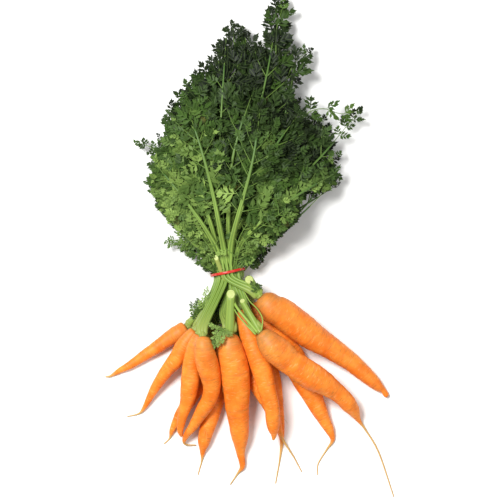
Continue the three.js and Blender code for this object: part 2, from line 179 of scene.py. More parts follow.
def makePainted(name, look):
    # the ground's colours over one field of the mesh, then each layer's colour where its field is high
    material, tree, shader = newMaterial(name, look["finish"])
    fields = [look["ground"]] + [layer[:2] for layer in look["layers"]]
    sources = [addNode(tree, "ShaderNodeAttribute", attribute_name=field) for field, _ in fields]
    ground, *levels = (
        addNode(tree, "ShaderNodeValToRGB", links={"Fac": (source, "Fac")}, stops=stops)
        for source, (_, stops) in zip(sources, fields))
    painted = (ground, "Color")
    for level, (_, _, colour) in zip(levels, look["layers"]):
        layer = addNode(
            tree, "ShaderNodeMix", data_type="RGBA",
            values={mixB: colour}, links={mixFactor: (level, "Color"), mixA: painted})
        painted = (layer, mixResult)
    tree.links.new(layer.outputs[mixResult], shader.inputs["Base Color"])
    return material


# Cut stalk end: moist, pale cream-green pith
pithLook = {
    "colours": ("#a9b768", "#c3cb87"),
    "stops": (0.3, 0.7),
    "grainMm": 1.111,
    "detail": 2.0,
    "finish": {"Roughness": 0.55},
}

# Natural rubber band: dyed red through, a dull satin with faint rub marks
rubberLook = {
    "colours": ("#b41c10", "#cc2e1c"),
    "stops": (0.3, 0.75),
    "grainMm": 2.5,
    "detail": 3.0,
    "finish": {"Roughness": 0.38, "IOR": 1.52},
}


def makeGrained(name, look):
    # two near colours in a fine cloudy grain over the piece's own place
    material, tree, shader = newMaterial(name, look["finish"])
    place = addNode(tree, "ShaderNodeTexCoord")
    grain = addNode(
        tree, "ShaderNodeTexNoise",
        values={"Scale": 1 / (look["grainMm"] * metresPerMm), "Detail": look["detail"]},
        links={"Vector": (place, "Object")})
    shade = addNode(
        tree, "ShaderNodeValToRGB",
        links={"Fac": (grain, "Fac")},
        stops=list(zip(look["stops"], look["colours"])))
    tree.links.new(shade.outputs["Color"], shader.inputs["Base Color"])
    return material


carrotSkin = makeCarrotSkin()
leafBlade = makePainted("carrotLeafBlade", leafLook)
leafStalk = makePainted("ribbedLeafStalk", stalkLook)
cutFace = makeGrained("cutStalkPith", pithLook)
redRubber = makeGrained("redRubberBand", rubberLook)
print("materials made")


# Shapes

def drawsFrom(seed):
    # seeded draws, state = state * 48271 mod (2^31 - 1); the solids' leaves use the same ones
    largest = 2 ** 31 - 1
    state = seed

    def draw(low, high):
        nonlocal state
        state = state * 48271 % largest
        return low + (high - low) * state / largest
    return draw


def lerp(low, high, share):
    return low + (high - low) * share


def smoothstep(value, low, high):
    # 3 s^2 - 2 s^3, where s runs from 0 at low to 1 at high
    s = np.clip((value - low) / (high - low), 0, 1)
    return s * s * (3 - 2 * s)


def unit(vectors):
    return vectors / np.linalg.norm(vectors, axis=-1, keepdims=True)


def turnAngles(count):
    return np.arange(count) * 2 * math.pi / count


def planWay(heading):
    # a direction in plan, its heading turned from +Y towards +X
    return np.stack([np.sin(heading), np.cos(heading)], axis=-1)


def splineAt(points, t, centripetal=False):
    # a smooth curve of cubic pieces through the points, end tangents from mirrored points
    points = np.asarray(points, float)
    padded = np.vstack([2 * points[0] - points[1], points, 2 * points[-1] - points[-2]])
    place = np.clip(t, 0, 1) * (len(points) - 1)
    first = np.minimum(place.astype(int), len(points) - 2)
    u = (place - first)[:, None]
    p0, p1, p2, p3 = (padded[first + k] for k in range(4))
    if centripetal:
        d0, d1, d2 = (np.sqrt(np.linalg.norm(b - a, axis=1))[:, None]
                      for a, b in ((p0, p1), (p1, p2), (p2, p3)))
        m1 = ((p1 - p0) / d0 - (p2 - p0) / (d0 + d1) + (p2 - p1) / d1) * d1
        m2 = ((p2 - p1) / d1 - (p3 - p1) / (d1 + d2) + (p3 - p2) / d2) * d1
    else:
        m1, m2 = (p2 - p0) / 2, (p3 - p1) / 2
    u2, u3 = u * u, u * u * u
    return (2 * u3 - 3 * u2 + 1) * p1 + (u3 - 2 * u2 + u) * m1 + (3 * u2 - 2 * u3) * p2 + (u3 - u2) * m2


def lengthAlong(points):
    # the line's length from its first point to each of its points
    return np.concatenate([[0], np.cumsum(np.linalg.norm(np.diff(points, axis=0), axis=1))])


def pointsAt(line, at, along=None):
    # the line's columns at places along it, which run evenly from 0 to 1 unless given
    along = np.linspace(0, 1, len(line)) if along is None else along
    return np.stack([np.interp(at, along, column) for column in line.T], axis=-1)


def evenly(points, count):
    # the same line, walked in equal steps of its length
    along = lengthAlong(points[:, :3])
    at = np.linspace(0, along[-1], count)
    return pointsAt(points, at, along), at


def sweepAlong(centres, radii, sides, wide=1.0):
    # point = centre + radius (wide cos a across + sin a over), across = tangent x up, poles at the ends
    tangent = unit(np.gradient(centres, axis=0))
    across = unit(np.cross(tangent, [0.0, 0.0, 1.0]))
    over = np.cross(across, tangent)
    angle = turnAngles(sides)[:, None]
    count = len(centres)
    radii = np.broadcast_to(np.reshape(radii, (count, -1)), (count, sides))
    wide = np.broadcast_to(wide, (count,))[:, None, None]
    ring = wide * np.cos(angle) * across[:, None] + np.sin(angle) * over[:, None]
    points = (centres[:, None] + radii[:, :, None] * ring).reshape(-1, 3)
    grid = np.arange(count * sides).reshape(count, sides)
    after = np.roll(grid, -1, axis=1)
    quads = np.stack([grid[:-1], after[:-1], after[1:], grid[1:]], axis=-1).reshape(-1, 4)
    start, end = count * sides, count * sides + 1
    caps = np.concatenate([
        np.stack([np.full(sides, start), after[0], grid[0]], axis=1),
        np.stack([np.full(sides, end), grid[-1], after[-1]], axis=1)])
    return {"points": np.vstack([points, centres[:1], centres[-1:]]), "quads": quads, "tris": caps}


def withPoles(grid, level=0.0):
    # a field over a tube's rings and sides, with one level for the points at its two ends
    return np.append(grid, [level, level])


def overRings(values, sides):
    # one value for each ring, given to every point of a tube
    return np.append(np.repeat(values, sides), [values[0], values[-1]])


def withFields(part, **fields):
    part["fields"] = {name: np.asarray(values, float) for name, values in fields.items()}
    return part


def addObject(name, data):
    made = bpy.data.objects.new(name, data)
    bpy.context.scene.collection.objects.link(made)
    return made


def makePiece(name, parts, materials, replaced):
    # one mesh of several closed surfaces, with a material number and named fields on its points
    offsets = np.cumsum([0] + [len(part["points"]) for part in parts])
    points = np.vstack([part["points"] for part in parts]) * metresPerMm
    quads, tris = (
        np.vstack([part[kind] + offset for part, offset in zip(parts, offsets)])
        for kind in ("quads", "tris"))
    slots = np.concatenate([np.zeros(len(quads))] + [
        np.full(len(part["tris"]), part.get("capMaterial", 0)) for part in parts])
    corners = np.concatenate([quads.ravel(), tris.ravel()])
    sizes = np.repeat([4, 3], [len(quads), len(tris)])
    mesh = bpy.data.meshes.new(name)
    mesh.vertices.add(len(points))
    mesh.vertices.foreach_set("co", points.astype(np.float32).ravel())
    mesh.loops.add(len(corners))
    mesh.loops.foreach_set("vertex_index", corners.astype(np.int32))
    mesh.polygons.add(len(sizes))
    mesh.polygons.foreach_set("loop_start", np.append(0, np.cumsum(sizes)[:-1]).astype(np.int32))
    mesh.polygons.foreach_set("material_index", slots.astype(np.int32))
    mesh.polygons.foreach_set("use_smooth", np.full(len(sizes), parts[0].get("smooth", True)))
    mesh.update(calc_edges=True)
    for field in parts[0]["fields"]:
        values = np.concatenate([part["fields"][field] for part in parts]).astype(np.float32)
        kind, key = ("FLOAT_VECTOR", "vector") if values.ndim == 2 else ("FLOAT", "value")
        mesh.attributes.new(field, kind, "POINT").data.foreach_set(key, values.ravel())
    for material in materials:
        mesh.materials.append(material)
    piece = addObject(name, mesh)
    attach(piece, "root")
    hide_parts(replaced)


# The bunch. Root points are [x, y, radius] for a root on the surface and [x, y, radius, height of its
# middle] above others, crown to tail. Fronds are [angle from +Y in degrees, reach from the band], and
# cut stalks are [x, y, height, radius] of their cut ends and the radius of their feet. Side and row
# place a top's stalks in the band, and via are points that they pass on the way. A root's shoulder is
# how olive it is, and its tone how much duller it is all over. A loose stub lies on the bundle.

carrots = [
    {
        "side": -1, "row": 3, "fronds": [[-42, 122], [-25, 165], [-8, 205]],
        "via": [[-48, -59, 15]], "cutStalks": [[-57, -71, 15, 2.2, 2.4]], "shoulder": 0.55,
        "root": [[-67, -82, 8], [-76, -88, 9.2], [-84, -93, 8.2], [-105, -107, 6.3], [-126, -121, 4.4],
                 [-137, -127, 3], [-147, -133, 1.3], [-153, -134, 0.6]],
    },
    {
        "side": -1, "row": 4, "fronds": [[-53, 88], [-35, 146], [-19, 186], [-3, 216]],
        "shoulder": 0.5, "footWide": 0.0, "crownMore": 7,
        "root": [[-62, -90, 7, 24], [-69, -100, 8.9, 22], [-76, -113, 9, 19], [-89, -129, 6.8, 13.5],
                 [-101, -147, 4.8, 8], [-112, -167, 2.1, 3], [-118, -173, 0.8, 1.4], [-130, -176, 0.5, 0.8]],
    },
    {
        "side": -1, "row": 5, "fronds": [[-38, 136], [-20, 190], [-1, 268]],
        "shoulder": 0.5, "footWide": 0.0, "crownMore": 6,
        "root": [[-55, -94, 7.2, 37], [-57, -101, 8.9, 35.8], [-61, -116, 8.9, 31], [-62.5, -134, 9.8, 27.8],
                 [-64, -147, 9.1, 26], [-66, -158, 7.6, 22.6], [-69, -168, 6.1, 19.4], [-72, -179, 4.8, 15],
                 [-73.5, -190, 3.4, 10.5], [-72, -197, 1.3, 6.5]],
    },
    {
        "side": -1, "row": 2, "fronds": [[-48, 104], [-30, 150], [-11, 190]],
        "via": [[-36, -68, 12]], "shoulder": 0.3,
        "root": [[-45, -108, 6.4], [-47.5, -118, 7.8], [-50, -129, 8], [-54.5, -142, 8.4], [-60.5, -151, 8.3],
                 [-66, -162, 7.1], [-74, -174, 5.6], [-82, -190, 3], [-85, -199, 0.9], [-91, -205, 0.6]],
    },
    {
        "side": -1, "row": 6, "fronds": [[-45, 112], [-27, 160], [-12, 198]],
        "shoulder": 0.6, "footWide": 0.25,
        "root": [[-49, -91, 6.6, 52.5], [-48.5, -99, 9.6, 54.4], [-47, -110, 11.5, 51], [-44, -121, 11.8, 44],
                 [-41.5, -131, 11, 38.6], [-40, -143, 9.3, 33], [-43, -157, 8.2, 28], [-49, -167, 7.5, 24.4],
                 [-59, -184, 5.2, 16], [-68, -197, 3, 8.6], [-68.5, -205, 1, 4], [-57, -206, 0.6, 1.6]],
    },
    {
        "side": -1, "row": 1, "fronds": [[-15, 186]],
        "shoulder": 0.3,
        "root": [[-27, -99, 7.4], [-28.5, -110, 9], [-30, -124, 9.8], [-32, -137, 9.8], [-36, -157, 9.6],
                 [-40.5, -173, 9.1], [-45.5, -189, 8], [-48.5, -202, 6.5], [-50, -213, 3], [-51, -223, 0.9],
                 [-55, -238, 0.5]],
    },
    {
        "side": 1, "row": 4, "fronds": [[9, 232], [19, 246], [34, 188], [51, 136]],
        "via": [[-27, -64, 30]], "cutStalks": [[-20, -46, 49, 4, 5.2]], "shoulder": 0.6,
        "root": [[-21.5, -88, 8.4, 42.5], [-21.5, -96, 11.8, 42], [-20, -106, 14, 40.6],
                 [-18, -116, 14.9, 38.8], [-16, -126, 15.2, 36.6], [-14.5, -139, 14.7, 32.5],
                 [-13.5, -161, 13, 25], [-12, -180, 11, 18], [-10.5, -196, 9.2, 12.5], [-10, -213, 4.8, 7],
                 [-8, -228, 2.9, 3.4], [-13, -236, 1, 1.4], [-21, -248, 0.5, 0.9]],
    },
    {
        "side": 1, "row": 5, "fronds": [[11, 292], [24, 196], [39, 218], [52, 120]],
        "shoulder": 0.4,
        "root": [[-10.5, -64, 5.4, 34], [-6, -74, 8.4, 36.4], [-2, -84, 9.9, 37], [1.5, -95, 10.5, 37.4],
                 [5.5, -105, 11.1, 37.4], [10.5, -118, 11.2, 37.2], [15.5, -137, 10.3, 36.4],
                 [19.5, -152, 9.1, 35], [23.2, -168, 7.9, 33.4], [24, -179, 7.3, 30], [24.5, -187, 6.2, 27],
                 [25, -194, 3.2, 24], [24.5, -200, 1.3, 21.4]],
    },
    {
        "side": 1, "row": 2, "fronds": [[14, 200], [28, 192], [50, 152]],
        "via": [[1.5, -89, 7], [-6, -74, 7.5], [-11.5, -54, 9]], "shoulder": 0.3,
        "root": [[10.5, -100, 4.4], [17, -110, 5.4], [22.5, -122, 6], [26.5, -137, 6.2], [28.5, -152, 6],
                 [29.8, -168, 5.8], [31, -181, 5.4], [32.5, -192, 4], [33.5, -202, 2], [31.5, -221, 0.9],
                 [27, -247, 0.5]],
    },
    {
        "side": 1, "row": 6, "fronds": [[6, 202], [22, 192], [45, 162]],
        "via": [[0, -70, 45.5], [-8, -50, 34.5]], "cutStalks": [[-8, -53, 51, 2.4, 3.8]], "shoulder": 0.95,
        "root": [[11, -86, 6.8, 56], [17, -93, 11.6, 56.4], [24, -101, 14.6, 55.4], [34, -109.5, 14.8, 51],
                 [41, -116, 13.7, 47.2], [52.5, -124, 14, 43], [66, -133, 14.3, 38.6], [78, -140, 12.3, 33],
                 [90, -148.5, 9.8, 27], [98.5, -156, 9, 22], [104, -162.5, 8.6, 18], [109, -169, 6.6, 13.4],
                 [115, -180, 2.4, 6.4], [122, -190, 1, 3], [136, -214, 0.8, 1.4], [152, -261, 0.5, 0.8]],
    },
    {
        "side": 1, "row": 3, "fronds": [[5, 214], [17, 222], [33, 186], [47, 156]],
        "shoulder": 0.3,
        "root": [[-10.5, -99, 7.6, 14], [-5.5, -110, 10, 14.6], [1, -124, 11, 15.6], [8.5, -140, 10.3, 16.6],
                 [15, -152, 9.4, 17], [21, -164, 7.8, 17.4], [26, -176, 5.8, 16.8], [31, -190, 3.2, 12.2],
                 [35, -200.5, 1.3, 7.4], [47, -220, 0.7, 2.2], [55, -235, 0.5, 0.8]],
    },
    {
        "side": 1, "row": 1, "fronds": [[17, 190], [37, 184]],
        "shoulder": 0.3,
        "root": [[2, -58, 7.2], [8, -66, 9.4], [14, -76, 10.8], [23, -86, 12.2], [32.5, -98, 12.9],
                 [43, -110, 13.1], [52.5, -128, 12.8], [61.5, -145, 12], [67, -156, 10.2], [72.5, -168, 8.6],
                 [77.5, -178, 6.8], [84, -190, 4.8], [87, -201, 2.1], [81, -211, 0.9], [72, -226, 0.6],
                 [71.5, -238, 0.5]],
    },
    {
        "side": 0, "row": 7, "fronds": [[-33, 152], [-13, 190], [12, 176]],
        "cutStalks": [[-1, -31, 38, 4, 4.4]], "shoulder": 0.7, "tone": 0.16,
        "looseStub": ([-26, -33, 27.5], [-35.5, -8, 38], 2.1),
        "root": [[11, -49, 7, 38], [16.5, -54.5, 13, 37.2], [24, -61.5, 15.2, 35.6], [33, -66, 15.9, 33.6],
                 [44, -74, 16, 30.6], [60, -86.5, 15.4, 26.4], [77, -98, 13.1, 21.6], [91, -107, 11.5, 17.8],
                 [105.5, -117.5, 10, 13.6], [118, -128, 8.7, 10.4], [128.5, -137.5, 7.3, 7.6],
                 [135, -143.5, 5.6, 5.8], [140.5, -148, 3.2, 3.6], [145, -155, 3, 3.2]],
    },
]


# Roots

rootForm = {
    "around": 40,
    "stepMm": 1.0,
    "wideSides": 12,            # sides of the solids, which set how low a root on the surface lies
    "slimSides": 10,
    "wideFrom": 11,
    "thinnest": 0.35,
    "crownRound": 0.34,         # the shoulder rounds over this share of the crown's radius
    "crownShare": 0.6,
    "crownNarrow": 0.74,        # a crown that reaches further than the solid's narrows to this share
    "tailRound": 0.8,
    "lump": 0.018,
    "lumpWaves": [(31, 1.0), (17, 0.7), (9, 0.5)],    # length in mm and share, for 1, 2, 3 waves round
    "creaseEveryMm": 4.2,
    "creaseDeepMm": 0.32,
    "creaseWideMm": 0.75,
    "creaseReach": (0.35, 1.5),     # a crease reaches this far round on each side, in radians
    "creaseFrom": 0.6,              # and fades out from this share of its reach
    "creaseSlant": 0.6,
    # creases are darkened this much with the marks' brown: the skin's own ring marks and painted shade in
    # them
    "creaseMarkAndShade": 0.65,
    "creaseDepths": (0.3, 1),
    "creaseShare": 0.05,            # no crease is deeper than this share of the radius
    "creaseEnd": 0.92,
    "crownRings": 5,
    "crownRingsMm": (2, 15),
    "crownRingReach": 2.4,
    "shoulderMm": 20,
    "shoulderPower": 1.6,
    "placeStep": 37,                # roots take their marks this far from each other
    "tanRadii": (2.6, 0.9),     # the skin turns tan where the root thins from one radius to the other
}


def rootLine(carrot):
    # rows of x, y, z, radius through the CAD points, in equal steps of length
    wide = max(point[2] for point in carrot["root"]) > rootForm["wideFrom"]
    flat = math.cos(math.pi / rootForm["wideSides" if wide else "slimSides"])
    rows = [[p[0], p[1], p[3] if len(p) > 3 else p[2] * flat, p[2]] for p in carrot["root"]]
    if "crownMore" in carrot:
        first, second = np.array(rows[0], float), np.array(rows[1], float)
        out = carrot["crownMore"] * unit(first[:3] - second[:3])
        rows.insert(0, [*(first[:3] + out), rootForm["crownNarrow"] * first[3]])
    dense = splineAt(rows, np.linspace(0, 1, 800))
    return evenly(dense, int(lengthAlong(dense[:, :3])[-1] / rootForm["stepMm"]))


def rootSurface(carrot, seed):
    # radius(s, a) = girth(s) crown(s) (1 + lumps) - creases, carried along the root's line
    rng = np.random.default_rng(seed)
    form, around = rootForm, rootForm["around"]
    line, s = rootLine(carrot)
    girth = np.maximum(line[:, 3], form["thinnest"])
    rise = np.clip(s / (form["crownRound"] * girth[0]), 0, 1)
    ending = np.clip((s[-1] - s) / girth[-1], 0, 1)
    crown = lerp(form["crownShare"], 1, np.sqrt(1 - (1 - rise) ** 2))
    crown = crown * np.sqrt(1 - (1 - ending) ** 2 * form["tailRound"])
    angle = turnAngles(around)
    phase = rng.uniform(0, 2 * math.pi, (len(form["lumpWaves"]), 2))
    lumps = sum(
        share * np.sin(2 * math.pi * s / long + phase[k, 0])[:, None] * np.cos((k + 1) * angle + phase[k, 1])
        for k, (long, share) in enumerate(form["lumpWaves"]))
    count, rings = int(s[-1] / form["creaseEveryMm"]), form["crownRings"]
    ranges = [
        (form["crownRingsMm"][0], s[-1] * form["creaseEnd"]), (0, 2 * math.pi),
        form["creaseReach"], form["creaseDepths"]]
    place, facing, reach, deep = (rng.uniform(*span, count) for span in ranges)
    place[:rings] = rng.uniform(*form["crownRingsMm"], rings)
    reach[:rings] = form["crownRingReach"]
    away = s[:, None, None] - place - form["creaseSlant"] * np.sin(angle[:, None] - facing)
    near = np.exp(-(away / form["creaseWideMm"]) ** 2)
    turn = np.abs((angle[:, None] - facing + math.pi) % (2 * math.pi) - math.pi)
    window = 1 - smoothstep(turn, reach * form["creaseFrom"], reach)
    crease = (near * window * deep).max(axis=2)
    cut = np.minimum(form["creaseDeepMm"], form["creaseShare"] * girth)[:, None]
    radii = (girth * crown)[:, None] * (1 + form["lump"] * lumps) - cut * crease
    part = sweepAlong(line[:, :3], radii, around)
    part["points"][:, 2] = np.maximum(part["points"][:, 2], 0)
    level, upright = withPoles(radii * np.cos(angle)), withPoles(radii * np.sin(angle))
    onSkin = np.stack([level, upright, overRings(s, around) + seed * form["placeStep"]], axis=1)
    shoulder = carrot["shoulder"] * np.exp(-(s / form["shoulderMm"]) ** form["shoulderPower"])
    return withFields(
        part, skinPlace=onSkin, shoulder=overRings(shoulder, around),
        tail=overRings(smoothstep(girth, *form["tanRadii"]), around),
        crease=withPoles(form["creaseMarkAndShade"] * crease) + carrot.get("tone", 0)), line, s


hairForm = {
    "count": 4,
    "radius": 0.18,
    "alongRoot": (0.3, 0.93),
    "lengthMm": (4, 13),
    "lean": (0.55, 0.8),        # how much a hair points away from the skin, and towards the tail
    "bend": (-0.35, 0.35),
    "droop": 0.3,
    "offLevel": 0.15,           # the least angle between a hair and the level across the root
    "insideMm": 0.4,
    "seedStep": 500,
}


def hairSurfaces(line, s, seed):
    # hair roots: thin bent cones that leave the skin sideways and droop
    form = hairForm
    rng = np.random.default_rng(seed + form["seedStep"])
    parts = []
    for _ in range(form["count"]):
        at = rng.uniform(*form["alongRoot"]) * s[-1]
        row = pointsAt(line, at, s)
        ahead = unit(pointsAt(line[:, :3], at + 1, s) - row[:3])
        across = unit(np.cross(ahead, [0, 0, 1]))
        turn = rng.uniform(form["offLevel"], math.pi - form["offLevel"])
        out = math.cos(turn) * across + math.sin(turn) * np.cross(across, ahead)
        long = rng.uniform(*form["lengthMm"])
        u = np.linspace(0, 1, 9)[:, None]
        way = unit(form["lean"][0] * out + form["lean"][1] * ahead)
        bend = rng.uniform(*form["bend"])
        points = row[:3] + out * (row[3] - form["insideMm"]) + long * (u * way + bend * u ** 2 * across)
        points[:, 2] = np.maximum(points[:, 2] - long * form["droop"] * u[:, 0] ** 2, form["radius"])
        part = sweepAlong(points, form["radius"] * (1 - 0.8 * u), 5)
        zeros = np.zeros(len(part["points"]))
        parts.append(withFields(
            part, skinPlace=part["points"], shoulder=zeros, tail=zeros + 0.9, crease=zeros))
    return parts


for number, carrot in enumerate(carrots, start=1):
    surface, line, s = rootSurface(carrot, number)
    parts = [surface] + hairSurfaces(line, s, number)
    makePiece(f"rootSkin_{number:02d}", parts, [carrotSkin], f"carrot_root_{number:02d}")
print("roots made")


# Leaf stalks and fronds, laid by the same rules as the solids

band = {
    "centre": np.array([-23, -23.5, 20.0]),
    "turn": math.radians(11),
    "halfWidth": 17.3,
    "halfHeight": 15.6,
    "width": 2.8,
    "thickness": 1.2,
    "turns": 144,
    "corners": 12,
    "dips": [(0.18, 11), (0.1, 17)],        # depth in mm and number of dips between the stalks
    "slips": [(0.5, 1, 0.6), (0.25, 3, 0)],     # size in mm, number and phase of its waves along the bunch
    "loose": {"at": 3.7, "wide": 0.3, "out": 3.2, "slip": 2.2},    # it stands off here, radians and mm
}
bandAlong = np.append(planWay(-band["turn"]), 0)
bandAcross = np.append(planWay(math.pi / 2 - band["turn"]), 0)

stalkForm = {
    "rowSizes": [3, 6, 7, 8, 7, 6, 3],
    "pitch": 4.1,
    "radius": 1.85,
    "tipRadius": 0.75,
    "straight": 5,
    "baseGap": 3.3,
    "baseOut": 1.6,         # a stalk starts this far out of the crown, and rises as far as the next
    "riseOut": 8,
    "leaveShare": 0.22,
    "arriveShare": 0.4,
    "endTurn": 22,
    "fanOut": (0.12, 0.4),  # from its layer's middle to its own level between these shares of its way
    "sides": 15,
    "ribs": 5,
    "ribShare": 0.05,
    "footWide": 0.75,       # a stalk's foot is this much wider than the stalk, like a sheath
    "footLong": 17,
    "topWide": 2.2,         # stalks of the top row are this much wider than high
    "topWideFrom": (0.02, 0.12),
    "bandTint": 0.45,       # how far a stalk's colours have changed where it passes the band
    "lowerRings": 36,
    "upperRings": 48,
}
rowCount = len(stalkForm["rowSizes"])

pile = {
    "centre": (-10, 105),
    "halfWidth": 108,
    "halfLength": 138,
    "edgeHeight": 30,
    "middleHeight": 86,
    "floorGap": 0.6,
    "spread": (6, 64),
    "turned": (10, 90),
    "bent": (10, 45),
    "sideGap": 0.8,
    "sideBlend": 13,
}

# How far the leaves reach from the band: [angle from +Y in degrees, reach].
leafOutline = np.array([
    [-180, 20], [-84, 25], [-70, 29], [-55, 34], [-51, 42], [-49.5, 70], [-48.5, 92], [-46, 101],
    [-43, 126], [-39, 131], [-25, 163], [-20, 190],
    [-11.5, 203], [-5.5, 215], [-4, 226], [-3, 242], [-0.7, 255], [1.6, 260], [3.5, 255], [5.6, 238],
    [6.5, 240], [7.5, 284], [11, 294], [14, 288], [15.5, 258], [17, 240], [18.5, 238], [20, 250],
    [21, 214], [23, 190], [28, 187], [36, 190], [37.5, 212], [39, 226], [41, 224], [42.5, 185], [46, 165],
    [51, 156], [53, 120], [54, 76], [58, 57], [61, 52], [73, 36], [85, 24], [180, 20],
], float)

# The cluster of leaves on the right ends at this y; below it nothing reaches past this x.
clusterFoot = {"x": 51, "y": 61}

# The upper leaves part over the stalks: a strip from the band's end to the far end, wider there.
opening = {
    "from": (-20, 4),
    "to": (-6, 122),
    "halfWidths": (13, 25),
    "level": 0.72,
    "share": 0.85,
}

pinnaForm = {
    "bareRings": 2,
    "longFrom": 198,
    "long": {"pairs": 3, "between": 2},     # pairs of pinnae, and steps between the solids' leaflets
    "short": {"pairs": 2, "between": 3},
    "baseShare": 0.31,
    "shrink": 0.17,
    "tipShare": 0.19,
    "tipSink": 0.01,
    "baseAngle": 58,
    "tipAngle": 38,
    "anglePlay": 8,
    "lengths": (0.85, 1.1),
    "lowShare": 0.2,
    "highShare": 0.8,
    "curve": 0.1,
    "lowDroop": 0.06,       # pinnae of the lowest row hang this share of their length, the top row more
    "highDroop": 0.26,
    "tilt": 0.16,
    "ribRadius": 0.5,
    "ribPoints": 7,
    "cutStep": 0.94,
    "shortestShare": 0.35,
}

# A pinnule is its rib and toothed lobes: where each starts on the rib, how far it turns from the rib in
# degrees, and its length and half width as shares of the pinnule's length.
pinnuleLobes = np.array([
    [0.00, 0, 0.80, 0.035],
    [0.12, 54, 0.46, 0.115],
    [0.15, -54, 0.46, 0.115],
    [0.32, 44, 0.44, 0.110],
    [0.35, -44, 0.44, 0.110],
    [0.52, 32, 0.37, 0.090],
    [0.54, -32, 0.37, 0.090],
    [0.52, 0, 0.48, 0.110],
])

# A lobe's rim as shares of its length and half width: narrow foot, a tooth on each side, a pointed tip.
lobeRim = np.array([
    [0.00, 0.08], [0.30, 0.62], [0.66, 1.00], [0.70, 0.42], [1.00, 0.00],
    [0.73, -0.40], [0.60, -0.96], [0.26, -0.60], [0.00, -0.08],
])
lobeMiddle = 0.42

pinnuleForm = {
    "spacingMm": 12.5,
    "fewestPairs": 2,
    "mostPairs": 6,
    "baseShare": 0.66,
    "shrink": 0.36,
    "tipShare": 0.3,
    "lengths": (0.85, 1.15),
    "shortestMm": 12,
    "longestMm": 28,
    "places": (0.05, 0.97),
    "placePlay": 0.02,
    "baseTurn": 54,
    "tipTurn": 30,
    "turnPlay": 14,
    "lobeTurnPlay": 11,
    "lobeLengths": (0.72, 1.18),
    "lobeWide": 1.0,
    "pitch": 26,
    "roll": 42,
    "steepest": 0.35,
    "fold": (-0.2, 0.5),    # lobes rise from the pinnule's middle, and its tip bends down
    "bend": (-0.35, 0.1),
    "cup": (-0.03, 0.1),    # a lobe's middle sinks by this share of its length
    "lowestMm": 0.5,
    "halfThick": 0.12,
    "edgePlay": 0.1,        # a pinnule may pass the outline of the leaves by up to this share
    "tipReach": 0.85,       # its lobes reach this share of its length
    "cuts": 4,              # it is cut back by the step up to this many times, then left out
    "cutStep": 0.8,
    "clearOfBand": 5,
    "tintSpread": 0.11,
}


def pileHeights(x, y):
    # a dome (1 - d^2)^0.7 on an oval plan, squeezed to the band's height next to the band
    fromBand = np.hypot(x - band["centre"][0], y - band["centre"][1])
    spread = smoothstep(fromBand, *pile["spread"])
    off = np.hypot((x - pile["centre"][0]) / pile["halfWidth"], (y - pile["centre"][1]) / pile["halfLength"])
    swell = np.maximum(0, 1 - off ** 2) ** 0.7
    bandHalf = rowCount * stalkForm["pitch"] / 2
    middle = band["centre"][2]
    low = lerp(middle - bandHalf, pile["floorGap"], spread)
    high = lerp(middle + bandHalf, lerp(pile["edgeHeight"], pile["middleHeight"], swell), spread)
    return low, high


def layerHeight(x, y, row, share):
    return lerp(*pileHeights(x, y), (row - 1 + share) / rowCount)


def dividingAngle(row):
    left, right = (
        next(c for c in carrots if (c["row"], c["side"]) == (row, side)) for side in (-1, 1))
    return math.radians((left["fronds"][-1][0] + right["fronds"][0][0]) / 2)


def keepToSide(x, y, carrot):
    # a point within sideBlend of its row's dividing line is pushed off it by an exponential
    if carrot["side"] == 0:
        return x, y
    dx, dy = x - band["centre"][0], y - band["centre"][1]
    fromBand = np.hypot(dx, dy)
    angle = lerp(-band["turn"], dividingAngle(carrot["row"]), smoothstep(fromBand, *pile["turned"]))
    acrossX, acrossY = np.cos(angle) * carrot["side"], -np.sin(angle) * carrot["side"]
    distance = dx * acrossX + dy * acrossY
    room = pile["sideBlend"] - pile["sideGap"]
    bent = pile["sideGap"] + room * np.exp(np.minimum((distance - pile["sideBlend"]) / room, 0))
    move = np.where(distance < pile["sideBlend"], bent - distance, 0) * smoothstep(fromBand, *pile["bent"])
    return x + acrossX * move, y + acrossY * move


def crownFrame(carrot):
    line, _ = rootLine(carrot)
    outward = unit(line[0, :3] - line[1, :3])
    across = unit(np.cross(outward, [0, 0, 1]))
    return line[0, :3], outward, across, carrot["root"][0][2]


def cubicAt(controls, t):
    # the cubic curve of four control points, and its derivative
    a, b, c, d = (np.asarray(p, float) for p in controls)
    t = np.asarray(t, float).reshape(-1, 1)
    u = 1 - t
    point = u ** 3 * a + 3 * u * u * t * b + 3 * u * t * t * c + t ** 3 * d
    slope = 3 * u * u * (b - a) + 6 * u * t * (c - b) + 3 * t * t * (d - c)
    return point, slope


